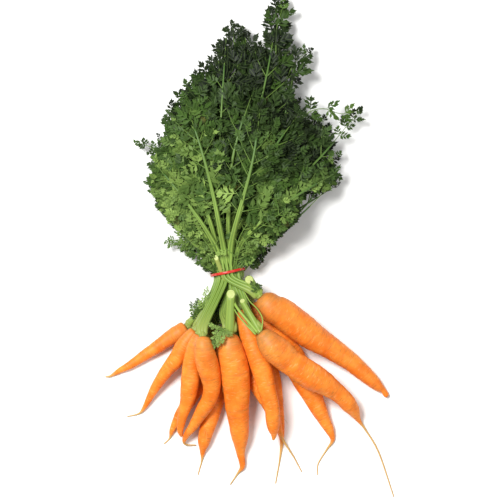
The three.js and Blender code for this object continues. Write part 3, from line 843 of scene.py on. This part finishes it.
def layFrond(carrot, carrotIndex, index):
    # a frond's stalk: from the crown through its place in the band, then a cubic curve to its end
    form = stalkForm
    draw = drawsFrom(7919 * (carrotIndex + 1) + 1049 * (index + 1))
    angle, reach = carrot["fronds"][index]
    crown, outward, across, radius = crownFrame(carrot)
    size, count = form["rowSizes"][carrot["row"] - 1], len(carrot["fronds"])
    first = size - count if carrot["side"] > 0 else 0
    slot = band["centre"] + bandAcross * (first + index - (size - 1) / 2) * form["pitch"]
    slot = slot + [0, 0, (carrot["row"] - (rowCount + 1) / 2) * form["pitch"]]
    stance = (index - (count - 1) / 2) * min(form["baseGap"], 1.1 * radius / count)
    base = crown + outward * form["baseOut"] + across * stance
    rise = base + outward * form["riseOut"] + across * stance * 0.3
    vias = [np.array(v, float) + bandAcross * stance for v in carrot.get("via", [])]
    enter = slot - bandAlong * form["straight"]
    leave = slot + bandAlong * form["straight"]
    heading = math.radians(angle)
    endHeading = heading + math.radians(draw(-form["endTurn"], form["endTurn"]))
    stem = reach * (1 - pinnaForm["tipShare"])
    end = band["centre"][:2] + stem * planWay(heading)
    return {
        "carrot": carrot, "draw": draw, "reach": reach,
        "lower": [base, rise, *vias, enter, leave],
        "controls": [
            leave[:2], leave[:2] + bandAlong[:2] * stem * form["leaveShare"],
            end - planWay(endHeading) * stem * form["arriveShare"], end],
        "share": lerp(pinnaForm["lowShare"], pinnaForm["highShare"], (index + 0.5) / count),
        **pinnaForm["long" if reach > pinnaForm["longFrom"] else "short"],
    }


def ribPoints(frond, t):
    plan, _ = cubicAt(frond["controls"], t)
    x, y = keepToSide(plan[:, 0], plan[:, 1], frond["carrot"])
    share = lerp(0.5, frond["share"], smoothstep(t, *stalkForm["fanOut"]))
    return np.stack([x, y, layerHeight(x, y, frond["carrot"]["row"], share)], axis=1)


def ribbedTube(centres, radii, form, groove, up, wide=1.0):
    # radius (1 + share cos(ribs a)), with the depth of shade in the grooves and the height up the stalk
    ribs = np.cos(form["ribs"] * turnAngles(form["sides"]))
    part = sweepAlong(centres, radii[:, None] * (1 + form["ribShare"] * ribs), form["sides"], wide)
    groove, up = (np.broadcast_to(level, len(centres)) for level in (groove, up))
    # painted shade, darkest in the grooves between the ribs
    onRib = withPoles(groove[:, None] * (0.5 - 0.5 * ribs), 0.2)
    return withFields(part, upStalk=overRings(up, form["sides"]), onRib=onRib)


def stalkSurface(frond):
    # a stalk is wider and smoother at its foot, and thins to its tip
    form = stalkForm
    lower = splineAt(frond["lower"], np.linspace(0, 1, form["lowerRings"]), centripetal=True)
    t = np.linspace(0, 1, form["upperRings"])
    centres = np.vstack([lower[:-1], ribPoints(frond, t)])
    fromFoot = lengthAlong(lower)
    climb = fromFoot[:-1] / fromFoot[-1]
    foot = np.exp(-(fromFoot[:-1] / form["footLong"]) ** 2)
    broad = (form["topWide"] - 1) * smoothstep(frond["carrot"]["row"], 4, 7)
    footWide = frond["carrot"].get("footWide", form["footWide"])
    wide = np.append(1 + footWide * foot, 1 + broad * smoothstep(t, *form["topWideFrom"]) * (1 - 0.7 * t))
    radius = np.append(
        form["radius"] * (1 + 0.2 * foot) * np.sqrt(np.clip(fromFoot[:-1] / 3 + 0.2, 0, 1)),
        lerp(form["radius"], form["tipRadius"], t ** 0.7))
    # the painted shade in the grooves is weaker at the smooth foot
    groove = np.append(1 - 0.7 * foot, np.ones(len(t)))
    up = np.append(form["bandTint"] * climb, lerp(form["bandTint"], 1, t))
    return ribbedTube(centres, radius, form, groove, up, wide)


def insideOutline(x, y, play=1.0):
    dx, dy = x - band["centre"][0], y - band["centre"][1]
    reach = np.interp(np.degrees(np.arctan2(dx, dy)), leafOutline[:, 0], leafOutline[:, 1])
    clear = (x > clusterFoot["x"] * play) & (y < clusterFoot["y"] * play)
    return (np.hypot(dx, dy) <= reach * play) & ~clear


def inOpening(x, y, z):
    near, far = np.array(opening["from"], float), np.array(opening["to"], float)
    along = unit(far - near)
    dx, dy = x - near[0], y - near[1]
    share = (dx * along[0] + dy * along[1]) / np.linalg.norm(far - near)
    off = np.abs(dx * along[1] - dy * along[0])
    within = (share > -0.1) & (share < 1) & (off < lerp(*opening["halfWidths"], share))
    return within & (z > lerp(*pileHeights(x, y), opening["level"]))


def fitLength(root, along, carrot, fullLength):
    # a pinna is cut back until its tip is inside the outline of the leaves
    length = fullLength
    while length > fullLength * pinnaForm["shortestShare"]:
        tip = root + length * along
        if insideOutline(*keepToSide(tip[0], tip[1], carrot)):
            break
        length *= pinnaForm["cutStep"]
    return length


def layPinna(frond, at, turn, fullLength, lift):
    # a pinna's rib: straight in plan but for a bend towards the frond's tip, hanging from its layer
    form, carrot = pinnaForm, frond["carrot"]
    root, slope = cubicAt(frond["controls"], [at])
    heading = math.atan2(slope[0, 0], slope[0, 1]) + turn
    along, across = planWay(heading), planWay(heading + math.pi / 2)
    length = fitLength(root[0], along, carrot, fullLength)
    droop = lerp(form["lowDroop"], form["highDroop"], (carrot["row"] - 1) / (rowCount - 1))
    s = np.linspace(0, 1, 9)
    bend = np.sign(turn) * form["curve"] * s ** 2
    plan = root + length * (s[:, None] * along - bend[:, None] * across)
    x, y = keepToSide(plan[:, 0], plan[:, 1], carrot)
    z = layerHeight(x, y, carrot["row"], frond["share"])
    z = z + length * (form["tilt"] * lift * s - droop * s ** 0.8)
    z = np.maximum(z, pinnuleForm["lowestMm"] + form["ribRadius"])
    return np.stack([x, y, z], axis=1), length


def pinnulesOn(rib, length, rng, form=pinnuleForm, trimmed=True):
    # rows for the pinnules of one pinna: base x y z, heading, pitch, roll, length, change of tint, width
    pairs = int(np.clip(round(length / form["spacingMm"]), form["fewestPairs"], form["mostPairs"]))
    place = np.repeat((np.arange(pairs) + 0.9) / (pairs + 0.7), 2)
    place = place + rng.uniform(-form["placePlay"], form["placePlay"], len(place))
    place = np.append(np.clip(place, *form["places"]), form["places"][1])
    sides = np.append(np.tile([-1.0, 1.0], pairs), 0)
    count = len(place)
    play = lambda span: rng.uniform(-span, span, count)
    base = pointsAt(rib, place)
    run = pointsAt(rib, np.minimum(place + 0.05, 1)) - pointsAt(rib, place - 0.05)
    slope = np.clip(np.arctan2(run[:, 2], np.hypot(run[:, 0], run[:, 1])), -form["steepest"], 0.2)
    turn = np.radians(lerp(form["baseTurn"], form["tipTurn"], place) + play(form["turnPlay"]))
    size = length * (form["baseShare"] - form["shrink"] * place) * rng.uniform(*form["lengths"], count)
    size[-1] = length * form["tipShare"]
    size = np.clip(size, form["shortestMm"], form["longestMm"])
    pitch = slope * np.cos(turn) + np.radians(play(form["pitch"]))
    roll = np.radians(play(form["roll"]))
    heading = np.arctan2(run[:, 0], run[:, 1]) + sides * turn
    shade = np.full(count, rng.normal(0, form["tintSpread"]))
    rows = np.column_stack([base, heading, pitch, roll, size, shade, np.full(count, form["lobeWide"])])
    if not trimmed:
        return rows
    edge = 1 + play(form["edgePlay"])
    for _ in range(form["cuts"]):
        tip = base[:, :2] + form["tipReach"] * size[:, None] * planWay(heading)
        inside = insideOutline(tip[:, 0], tip[:, 1], edge)
        size = np.where(inside, size, size * form["cutStep"])
    fromBand = (tip - band["centre"][:2]) @ bandAlong[:2]
    over = inOpening(tip[:, 0], tip[:, 1], base[:, 2]) & (rng.uniform(0, 1, count) < opening["share"])
    rows[:, 6] = size
    return rows[inside & (fromBand > form["clearOfBand"]) & ~over]


def lobeFrames(rows, rng):
    # each pinnule's lobes: base point, direction, sideways direction, face direction, length, half width
    form = pinnuleForm
    base, heading, pitch, roll, size = rows[:, :3], rows[:, 3], rows[:, 4], rows[:, 5], rows[:, 6]
    flat = np.cos(pitch)
    along = np.stack([np.sin(heading) * flat, np.cos(heading) * flat, np.sin(pitch)], axis=1)
    level = np.stack([np.cos(heading), -np.sin(heading), np.zeros_like(heading)], axis=1)
    raised = np.cross(level, along)
    across = np.cos(roll)[:, None] * level + np.sin(roll)[:, None] * raised
    normal = np.cos(roll)[:, None] * raised - np.sin(roll)[:, None] * level
    along, across, normal = along[:, None], across[:, None], normal[:, None]
    count, lobes = len(rows), len(pinnuleLobes)
    place, turn, long, wide = (column[None, :, None] for column in pinnuleLobes.T)
    play = form["lobeTurnPlay"] * (place > 0)
    angle = np.radians(turn + rng.uniform(-1, 1, (count, lobes, 1)) * play)
    fold = rng.uniform(*form["fold"], (count, 1, 1))
    bend = rng.uniform(*form["bend"], (count, 1, 1))
    scale = size[:, None, None]
    start = base[:, None] + scale * (place * along + bend * place ** 2 * normal)
    lean = fold * np.abs(np.sin(angle)) + 2 * bend * place
    way = unit(np.cos(angle) * along + np.sin(angle) * across + lean * normal)
    sideways = unit(np.cross(way, np.broadcast_to(normal, way.shape)))
    face = np.cross(sideways, way)
    length, half = (
        scale * share * rng.uniform(*form["lobeLengths"], (count, lobes, 1)) for share in (long, wide))
    half = half * rows[:, 8][:, None, None]
    return [part.reshape(count * lobes, -1) for part in (start, way, sideways, face, length, half)]


def bladeSurfaces(rows, rng, toneAndShade, dryness):
    # every lobe at once: point = start + length u way + half v sideways round the rim, and a middle
    # point above and one below, sunk along the face direction, so each lobe is a closed thin plate
    start, way, sideways, face, length, half = lobeFrames(rows, rng)
    count, rim = len(start), len(lobeRim)
    u, v = (column[None, :, None] for column in lobeRim.T)
    edge = start[:, None] + length[:, None] * u * way[:, None] + half[:, None] * v * sideways[:, None]
    cup = rng.uniform(*pinnuleForm["cup"], (count, 1)) * length
    middle = start + length * lobeMiddle * way - cup * face
    above = middle + pinnuleForm["halfThick"] * face
    below = middle - pinnuleForm["halfThick"] * face
    points = np.concatenate([edge, above[:, None], below[:, None]], axis=1).reshape(-1, 3)
    points[:, 2] = np.maximum(points[:, 2], pinnuleForm["lowestMm"])
    around = np.arange(rim)
    after = np.roll(around, -1)
    tris = np.concatenate([
        np.stack([np.full(rim, rim), around, after], axis=1),
        np.stack([np.full(rim, rim + 1), after, around], axis=1)])
    shift = (np.arange(count) * (rim + 2))[:, None, None]
    perPinnule = (rim + 2) * len(pinnuleLobes)
    tipward = np.append(lobeRim[:, 0], [lobeMiddle, lobeMiddle])
    return {
        "points": points,
        "quads": np.zeros((0, 4), int),
        "tris": (tris[None] + shift).reshape(-1, 3),
        "smooth": False,
        "fields": {
            "leafToneWithPaintedShade": np.repeat(toneAndShade, perPinnule),
            "dryness": np.repeat(dryness, perPinnule) * np.tile(tipward, count),
            "fromRib": np.tile(np.append(np.abs(lobeRim[:, 1]), [0, 0]), count),
        },
    }


# How light falls on the leaves is painted into their colour: they are made lighter or darker by where they
# lie in the pile. Each pinna's own change of tint, a random spread and a few dried tips are added to that.
leafToneAndPaintedShade = {
    "base": 0.98,
    "across": (-84, -16),   # painted shade: leaves darken from one x to the next, and from one y to the next
    "acrossDrop": 0.3,
    "up": (20, 190),
    "upDrop": 0.37,
    "right": (28, 76),      # and are painted a little lighter again on the right
    "rightRise": 0.17,
    "deepDrop": 0.96,       # and darken with painted shade from the top of the pile to its foot
    "spread": 0.13,
    "dryShare": 0.015,
    "dryLevel": 0.6,
}


def paintedShadeAndToneAt(rows, rng):
    # painted light and shade for how light falls on the pile: lighter at both sides, near the band and on
    # top, darker in the middle, at the far end and deep down
    x, y, z = rows[:, :3].T
    low, high = pileHeights(x, y)
    toneAndShade = leafToneAndPaintedShade["base"] - leafToneAndPaintedShade["acrossDrop"] * smoothstep(x, *leafToneAndPaintedShade["across"])
    toneAndShade = toneAndShade - leafToneAndPaintedShade["upDrop"] * smoothstep(y, *leafToneAndPaintedShade["up"])
    toneAndShade = toneAndShade + leafToneAndPaintedShade["rightRise"] * smoothstep(x, *leafToneAndPaintedShade["right"])
    toneAndShade = toneAndShade - leafToneAndPaintedShade["deepDrop"] * np.clip((high - z) / (high - low), 0, 1) + rows[:, 7]
    return np.clip(toneAndShade + rng.normal(0, leafToneAndPaintedShade["spread"], len(x)), 0, 1)


def thinTube(line, radius, tipShare=0.35, up=0.9, sides=5):
    # a round tube whose radius falls evenly to tipShare of it
    part = sweepAlong(line, radius * np.linspace(1, tipShare, len(line)), sides)
    count = len(part["points"])
    return withFields(part, upStalk=np.full(count, up), onRib=np.zeros(count))


def addPinna(rib, length, rng, tubes, rows):
    # the pinnules that spring from a rib, and the rib itself as far as the last of them
    kept = pinnulesOn(rib, length, rng)
    if len(kept):
        last = np.linalg.norm(kept[:, :3] - rib[0], axis=1).max()
        share = last / np.linalg.norm(rib[-1] - rib[0])
        line = pointsAt(rib, np.linspace(0, min(1, share + 0.03), pinnaForm["ribPoints"]))
        tubes.append(thinTube(line, pinnaForm["ribRadius"]))
        rows.append(kept)


def frondParts(frond, rng):
    # rib tubes and pinnule rows of one frond; the solids' leaflets keep their own draws
    form, draw, reach, pairs = pinnaForm, frond["draw"], frond["reach"], frond["pairs"]
    tubes, rows = [], []
    for pair in range(pairs):
        for step in range(frond["between"]):
            share = (pair + step / frond["between"]) / pairs
            at = (form["bareRings"] + share * pairs) / (form["bareRings"] + pairs)
            source = draw if step == 0 else rng.uniform
            for side in (-1, 1):
                angle = lerp(form["baseAngle"], form["tipAngle"], share)
                angle = angle + source(-form["anglePlay"], form["anglePlay"])
                length = reach * (form["baseShare"] - form["shrink"] * share) * source(*form["lengths"])
                lift = source(-1, 1)
                if step == 0:
                    lift = draw(-1, 1)      # the solids' leaflets pass over one draw
                pinna = layPinna(frond, at, side * math.radians(angle), length, lift)
                addPinna(*pinna, rng, tubes, rows)
    tip = layPinna(frond, 1 - form["tipSink"], 0, reach * form["tipShare"], draw(-1, 1))
    addPinna(*tip, rng, tubes, rows)
    return tubes, np.vstack(rows)


collarForm = {
    "sides": 24,
    "rings": 10,
    "ribs": 8,
    "ribShare": 0.04,
    "from": 0.3,
    "long": 6.4,
    "wide": (0.62, 0.45),   # shares of the crown's radius at its foot and at its head
}


def collarSurface(carrot):
    # the crown's collar: a ribbed cone with a rounded head
    form = collarForm
    crown, outward, _, radius = crownFrame(carrot)
    u = np.linspace(0, 1, form["rings"])
    centres = crown + outward * (form["from"] + form["long"] * u)[:, None]
    profile = radius * lerp(*form["wide"], u) * np.sqrt(np.clip(1 - (u * 0.98) ** 6, 0.05, 1))
    return ribbedTube(centres, profile, form, 0.5, 0.0)


cutForm = {
    "sides": 24,
    "rings": 14,
    "ribs": 8,
    "ribShare": 0.025,
    "baseOut": 1.2,
    "slant": 1.1,       # the knife left a slanted face: its top is this many radii further back
    "slantFrom": 0.75,
    "widestAt": 0.8,
    "footShare": 0.8,
    "faceShare": 0.9,
    "wide": 1.12,
    "onCrown": 0.2,
}


def cutStalkSurfaces(carrot):
    # stubs of stalks that were cut: they widen to the sheath's radius and end in a slanted flat face
    form = cutForm
    crown, outward, _, _ = crownFrame(carrot)
    stubs = [(crown + outward * form["baseOut"], end, radius, footRadius, form["onCrown"])
             for *end, radius, footRadius in carrot.get("cutStalks", [])]
    if "looseStub" in carrot:
        low, high, radius = carrot["looseStub"]
        stubs.append((low, high, radius, radius, 0.0))
    t = np.append(np.linspace(0, 1, form["rings"]), 1)
    parts = []
    for start, end, endRadius, footRadius, up in stubs:
        start, end = np.array(start, float), np.array(end, float)
        aim = unit(end - start)
        centres = lerp(start, end, t[:, None])
        centres[-1] += 0.01 * aim
        radii = lerp(footRadius, endRadius, smoothstep(t, 0, form["widestAt"]))
        radii[0] *= form["footShare"]
        radii[-1] *= form["faceShare"]
        part = ribbedTube(centres, radii, form, 0.5 * (up > 0), up, form["wide"])
        back = form["slant"] * radii * smoothstep(t, form["slantFrom"], 1)
        ring = part["points"][:-2].reshape(len(t), form["sides"], 3)
        ring -= (back[:, None] * np.sin(turnAngles(form["sides"])))[:, :, None] * aim
        part["points"][-1] = ring[-1].mean(axis=0)
        part["capMaterial"] = 1
        parts.append(part)
    return parts


# Young leaves low on the bunch and at the edge of its leaves, by the number of their carrot.

# A fine sprig has small, narrow pinnules close together.
fineLeaf = {**pinnuleForm, "spacingMm": 3.2, "shortestMm": 5, "lobeWide": 0.8, "pitch": 14, "roll": 24}

# A sprig is its leaf form, the length of pinna that it is like, how much lighter it is, and the points
# that it follows. Its pinnules spring from it.
youngSprigs = [
    (7, fineLeaf, 17, 0.22, [[-25, -82, 54], [-32, -86, 58], [-36, -93, 58], [-38, -101, 56]]),
    (7, fineLeaf, 12, 0.22, [[-26, -82, 54], [-32, -83, 58], [-37, -81, 58], [-41, -78, 56]]),
    (7, fineLeaf, 12, 0.22, [[-29, -83, 56], [-26, -86, 58], [-21, -88, 57]]),
    (7, fineLeaf, 14, 0.22, [[-29, -84, 57], [-31, -91, 59], [-33, -98, 58]]),
    (1, fineLeaf, 20, -0.2, [[-50, -71, 24], [-55, -67, 27], [-60, -58, 27]]),
    (1, fineLeaf, 18, -0.2, [[-50, -69, 24], [-53, -62, 28], [-55, -54, 29]]),
    (1, fineLeaf, 15, 0.22, [[-49, -64, 30], [-48, -54, 33], [-45, -41, 34]]),
    (6, pinnuleForm, 40, 0.22, [[-27, -88, 14], [-29, -72, 19], [-25, -52, 22]]),
    (6, pinnuleForm, 40, 0.22, [[-25, -84, 15], [-20, -68, 22], [-19, -48, 26]]),
    (6, pinnuleForm, 36, 0.22, [[-30, -86, 15], [-37, -72, 20], [-33, -52, 20]]),
    (4, fineLeaf, 34, 0.22, [[-38, -18, 18], [-51, -2, 21], [-66, 11, 19], [-85, 9, 12]]),
    (4, fineLeaf, 20, 0.22, [[-62, 10, 20], [-65, 3, 17], [-60, -5, 13]]),
    (4, fineLeaf, 18, 0.22, [[-66, 12, 19], [-70, 6, 16], [-69, 1, 13]]),
    (2, pinnuleForm, 28, 0.22, [[-38, -14, 24], [-45, -4, 27], [-49, 8, 28]]),
    (2, pinnuleForm, 24, 0.22, [[-36, -16, 22], [-42, -8, 20], [-46, 0, 15]]),
    (3, pinnuleForm, 20, 0.22, [[-92, 98, 22], [-104, 108, 18], [-115, 112, 14]]),
    (12, pinnuleForm, 24, 0.22, [[-6, -20, 12], [2, -13, 11], [10, -7, 10]]),
    (12, fineLeaf, 15, -0.3, [[11, -44, 40], [8, -41, 43], [3, -35, 44]]),
    (9, pinnuleForm, 34, 0.22, [[-6, -22, 20], [4, -10, 18], [15, 5, 14]]),
    (8, pinnuleForm, 60, 0.22, [[24, 180, 34], [27, 204, 31], [28, 232, 25], [34, 254, 17]]),
    (8, pinnuleForm, 50, 0.22, [[22, 172, 30], [26, 190, 28], [28, 212, 24], [26, 226, 20]]),
    (7, pinnuleForm, 42, 0.22, [[36, 172, 32], [43, 190, 29], [51, 201, 25], [60, 208, 20]]),
    (3, pinnuleForm, 46, 0.22, [[-14, 186, 34], [-15, 204, 30], [-17, 220, 25], [-18, 234, 19]]),
    (3, pinnuleForm, 42, 0.22, [[-22, 178, 33], [-27, 196, 28], [-31, 214, 20]]),
    (7, pinnuleForm, 40, 0.22, [[-2, 186, 34], [-2, 202, 29], [-4, 216, 24], [-6, 228, 19]]),
    (7, pinnuleForm, 44, 0.22, [[8, 178, 36], [13, 192, 31], [16, 202, 26]]),
    (5, pinnuleForm, 50, 0.1, [[-40, 136, 46], [-47, 154, 40], [-52, 168, 34], [-55, 178, 27]]),
    (3, pinnuleForm, 50, 0.1, [[-30, 146, 46], [-36, 164, 41], [-41, 178, 35], [-43, 188, 28]]),
    (1, pinnuleForm, 44, 0.1, [[-58, 126, 34], [-64, 142, 29], [-68, 154, 24], [-71, 163, 18]]),
    (5, pinnuleForm, 46, 0.1, [[-24, 156, 46], [-29, 174, 40], [-32, 190, 34], [-34, 202, 27]]),
    (8, pinnuleForm, 42, 0.22, [[48, 132, 42], [63, 145, 38], [79, 148, 33], [95, 143, 27], [113, 146, 20]]),
]
sprigRadius = 0.7

# A thin stalk is its radius and points.
thinStalks = [
    (10, 0.7, [[12, -83, 61], [13, -72, 58], [8, -62, 51], [0, -54, 43], [-6, -44, 35]]),
    (10, 1.6, [[8, -86, 59], [-3, -73, 56], [-13, -61, 51], [-19, -50, 42]]),
    (10, 0.8, [[6, -88, 59], [-5, -77, 55], [-14, -66, 50], [-20, -54, 41]]),
]

# A small frond leaves the band at an angle from +Y, reaches so far and lies at that share of the pile's
# height, with short pinnae on both sides.
smallFronds = [
    (4, -50, 92, 0.3), (2, -40, 108, 0.5),
    (13, -40, 84, 0.95), (13, -27, 96, 0.9),
    (6, -24, 96, 0.2), (5, -15, 104, 0.62),
    (6, -6, 100, 0.3), (5, 0, 110, 0.68),
    (11, 7, 104, 0.5), (10, 15, 100, 0.66),
    (11, 24, 108, 0.5), (10, 33, 96, 0.95),
    (9, 43, 100, 0.4), (13, 46, 84, 0.95),
]

smallFrondForm = {
    "radius": 0.9,
    "levels": (0.12, 0.88),     # the shares of the band's height between which fronds pass through it
    "inBandMm": 9,
    "beforeBandMm": 14,
    "pairs": 7,
    "firstAt": 0.24,
    "lastAt": 0.96,
    "baseLength": 0.3,
    "tipLength": 0.14,
    "turn": 52,
    "turnPlay": 10,
    "rise": (-0.22, 0.12),
    "placePlay": 0.015,
    "lengths": (0.85, 1.15),
    "fanBand": 1.4,             # it passes the band further out by the sine of this times its heading
    "bends": [(0.22, 0.2), (0.15, 0.85)],    # its middle and end, shares of its reach ahead and outward
}


def pinnaFromLine(line, at, turn, length, rng):
    # a rib of its own from a share of a line, turned in plan, sagging a little
    ahead = pointsAt(line, min(at + 0.05, 1)) - pointsAt(line, max(at - 0.05, 0))
    heading = math.atan2(ahead[0], ahead[1]) + turn
    way = np.append(planWay(heading), rng.uniform(*smallFrondForm["rise"]))
    return pointsAt(line, at) + length * np.linspace(0, 1, 7)[:, None] * way


def smallFrondLine(heading, reach, level):
    # from below the band through it, then out along the heading at one level of the pile
    form = smallFrondForm
    aim = np.append(planWay(heading), 0)
    low, high = pileHeights(*band["centre"][:2])
    foot = np.append(band["centre"][:2], lerp(low, high, lerp(*form["levels"], level)))
    inBand = foot + bandAcross * form["inBandMm"] * math.sin(form["fanBand"] * heading)
    points = [inBand - bandAlong * form["beforeBandMm"], inBand]
    for ahead, outward in form["bends"]:
        point = inBand + bandAlong * reach * ahead + aim * reach * outward
        point[2] = lerp(*pileHeights(point[0], point[1]), level)
        points.append(point)
    return splineAt(points, np.linspace(0, 1, 40), centripetal=True)


def rowsOf(table, number):
    return [row[1:] for row in table if row[0] == number]


def youngParts(number, rng):
    # stalk and rib tubes and pinnule rows of every young leaf that belongs to one carrot
    parts, rows = [], []
    for form, length, lighter, points in rowsOf(youngSprigs, number):
        line = splineAt(points, np.linspace(0, 1, 14))
        parts.append(thinTube(line, sprigRadius))
        leaves = pinnulesOn(line, length, rng, form, trimmed=False)
        leaves[:, 7] = lighter
        rows.append(leaves)
    for radius, points in rowsOf(thinStalks, number):
        line = splineAt(points, np.linspace(0, 1, 30), centripetal=True)
        parts.append(thinTube(line, radius, 0.8, 0.3, 10))
    form = smallFrondForm
    for angle, reach, level in rowsOf(smallFronds, number):
        line = smallFrondLine(math.radians(angle), reach, level)
        parts.append(thinTube(line, form["radius"]))
        for share in np.linspace(0, 1, form["pairs"]):
            at = lerp(form["firstAt"], form["lastAt"], share)
            at = at + rng.uniform(-form["placePlay"], form["placePlay"])
            for side in (-1, 1):
                length = reach * lerp(form["baseLength"], form["tipLength"], share)
                length = length * rng.uniform(*form["lengths"])
                turn = side * math.radians(form["turn"] + rng.uniform(-form["turnPlay"], form["turnPlay"]))
                addPinna(pinnaFromLine(line, at, turn, length, rng), length, rng, parts, rows)
    return parts, rows


for number, carrot in enumerate(carrots, start=1):
    rng = np.random.default_rng(900 + number)
    young, youngRows = youngParts(number, rng)
    stalks = [collarSurface(carrot)] + cutStalkSurfaces(carrot) + young
    blades = []
    if youngRows:
        rows = np.vstack(youngRows)
        blades.append(bladeSurfaces(rows, rng, paintedShadeAndToneAt(rows, rng), np.zeros(len(rows))))
    for index in range(len(carrot["fronds"])):
        frond = layFrond(carrot, number - 1, index)
        tubes, rows = frondParts(frond, rng)
        stalks += [stalkSurface(frond), *tubes]
        dryness = leafToneAndPaintedShade["dryLevel"] * (rng.uniform(0, 1, len(rows)) < leafToneAndPaintedShade["dryShare"])
        blades.append(bladeSurfaces(rows, rng, paintedShadeAndToneAt(rows, rng), dryness))
    node = f"carrot_top_{number:02d}"
    makePiece(f"leafStalks_{number:02d}", stalks, [leafStalk, cutFace], node)
    makePiece(f"leafBlades_{number:02d}", blades, [leafBlade], node)
print("stalks and leaves made")


# Rubber band

def bandSurface():
    # a flat strip with rounded edges round an oval; it dips between the stalks it presses and its
    # lower strand stands off a little on the left
    turns, corners = band["turns"], band["corners"]
    a, b = turnAngles(turns), turnAngles(corners)
    (deep1, count1), (deep2, count2) = band["dips"]
    grow = deep1 * np.cos(count1 * a) + deep2 * np.sin(count2 * a)
    loose = np.exp(-((a - band["loose"]["at"]) / band["loose"]["wide"]) ** 2)
    side = (band["halfWidth"] + grow) * np.cos(a) - band["loose"]["out"] * loose
    high = (band["halfHeight"] + grow) * np.sin(a)
    slip = sum(size * np.sin(waves * a + phase) for size, waves, phase in band["slips"])
    slip = slip + band["loose"]["slip"] * loose
    upward = np.array([0, 0, 1.0])
    centre = (band["centre"] + side[:, None] * bandAcross + slip[:, None] * bandAlong
              + high[:, None] * upward)
    outward = unit(np.cos(a)[:, None] / band["halfWidth"] * bandAcross
                   + np.sin(a)[:, None] / band["halfHeight"] * upward)
    rounded = lambda v: np.sign(v) * np.abs(v) ** 0.5
    flat = rounded(np.cos(b))[None, :, None] * band["width"] / 2
    deep = rounded(np.sin(b))[None, :, None] * band["thickness"] / 2
    points = centre[:, None] + flat * bandAlong + deep * outward[:, None]
    grid = np.arange(turns * corners).reshape(turns, corners)
    nextTurn, nextCorner = np.roll(grid, -1, axis=0), np.roll(grid, -1, axis=1)
    quads = np.stack([grid, nextTurn, np.roll(nextTurn, -1, axis=1), nextCorner], axis=-1).reshape(-1, 4)
    return withFields({"points": points.reshape(-1, 3), "quads": quads, "tris": np.zeros((0, 3), int)})


makePiece("rubberStrip", [bandSurface()], [redRubber], "rubber_band")
print("band made")


# Floor, lights and camera

stageForm = {
    "floorHalf": 3.0,
    "floorColour": "#f2f2f0",
    "floorFinish": {"Roughness": 0.9},
    "lights": [     # name, place, size and watts; both look at the bunch
        ("keySoftbox", (-0.8, 0.6, 2.0), 0.8, 68),
        ("fillSoftbox", (1.3, -0.6, 1.8), 1.4, 12),
    ],
    "lookAt": (0, 0, 0.03),
    "skyLevel": 0.36,
    "cameraHeight": 4.0,
    "fieldMm": 525.0,       # the photo shows this much at the height of the roots
    "fieldAtMm": 25.0,
    "sensorMm": 36.0,
}


def makeFloor():
    half = stageForm["floorHalf"]
    mesh = bpy.data.meshes.new("paleFloor")
    corners = [(-half, -half, 0), (half, -half, 0), (half, half, 0), (-half, half, 0)]
    mesh.from_pydata(corners, [], [(0, 1, 2, 3)])
    material, _, paper = newMaterial("matteWhitePaper", stageForm["floorFinish"])
    paper.inputs["Base Color"].default_value = linearFromHex(stageForm["floorColour"])
    mesh.materials.append(material)
    addObject("paleFloor", mesh)


def addLight(name, place, size, watts):
    data = bpy.data.lights.new(name, "AREA")
    data.shape = "DISK"
    data.size = size
    data.energy = watts
    light = addObject(name, data)
    light.location = place
    x, y, z = np.array(stageForm["lookAt"]) - np.array(place)
    light.rotation_euler = (math.atan2(math.hypot(x, y), -z), 0, math.atan2(x, -y) + math.pi)


makeFloor()
for lightRow in stageForm["lights"]:
    addLight(*lightRow)
world = bpy.data.worlds.new("paleStudio")
world.use_nodes = True
sky = world.node_tree.nodes["Background"]
sky.inputs["Color"].default_value = colourOf(1.0)
sky.inputs["Strength"].default_value = stageForm["skyLevel"]
bpy.context.scene.world = world
bpy.context.scene.view_settings.view_transform = "Standard"

cameraData = bpy.data.cameras.new("topCamera")
cameraData.sensor_width = stageForm["sensorMm"]
distanceMm = stageForm["cameraHeight"] / metresPerMm - stageForm["fieldAtMm"]
cameraData.lens = stageForm["sensorMm"] * distanceMm / stageForm["fieldMm"]
camera = addObject("topCamera", cameraData)
camera.location = (0, 0, stageForm["cameraHeight"])
bpy.context.scene.camera = camera
print("stage made")
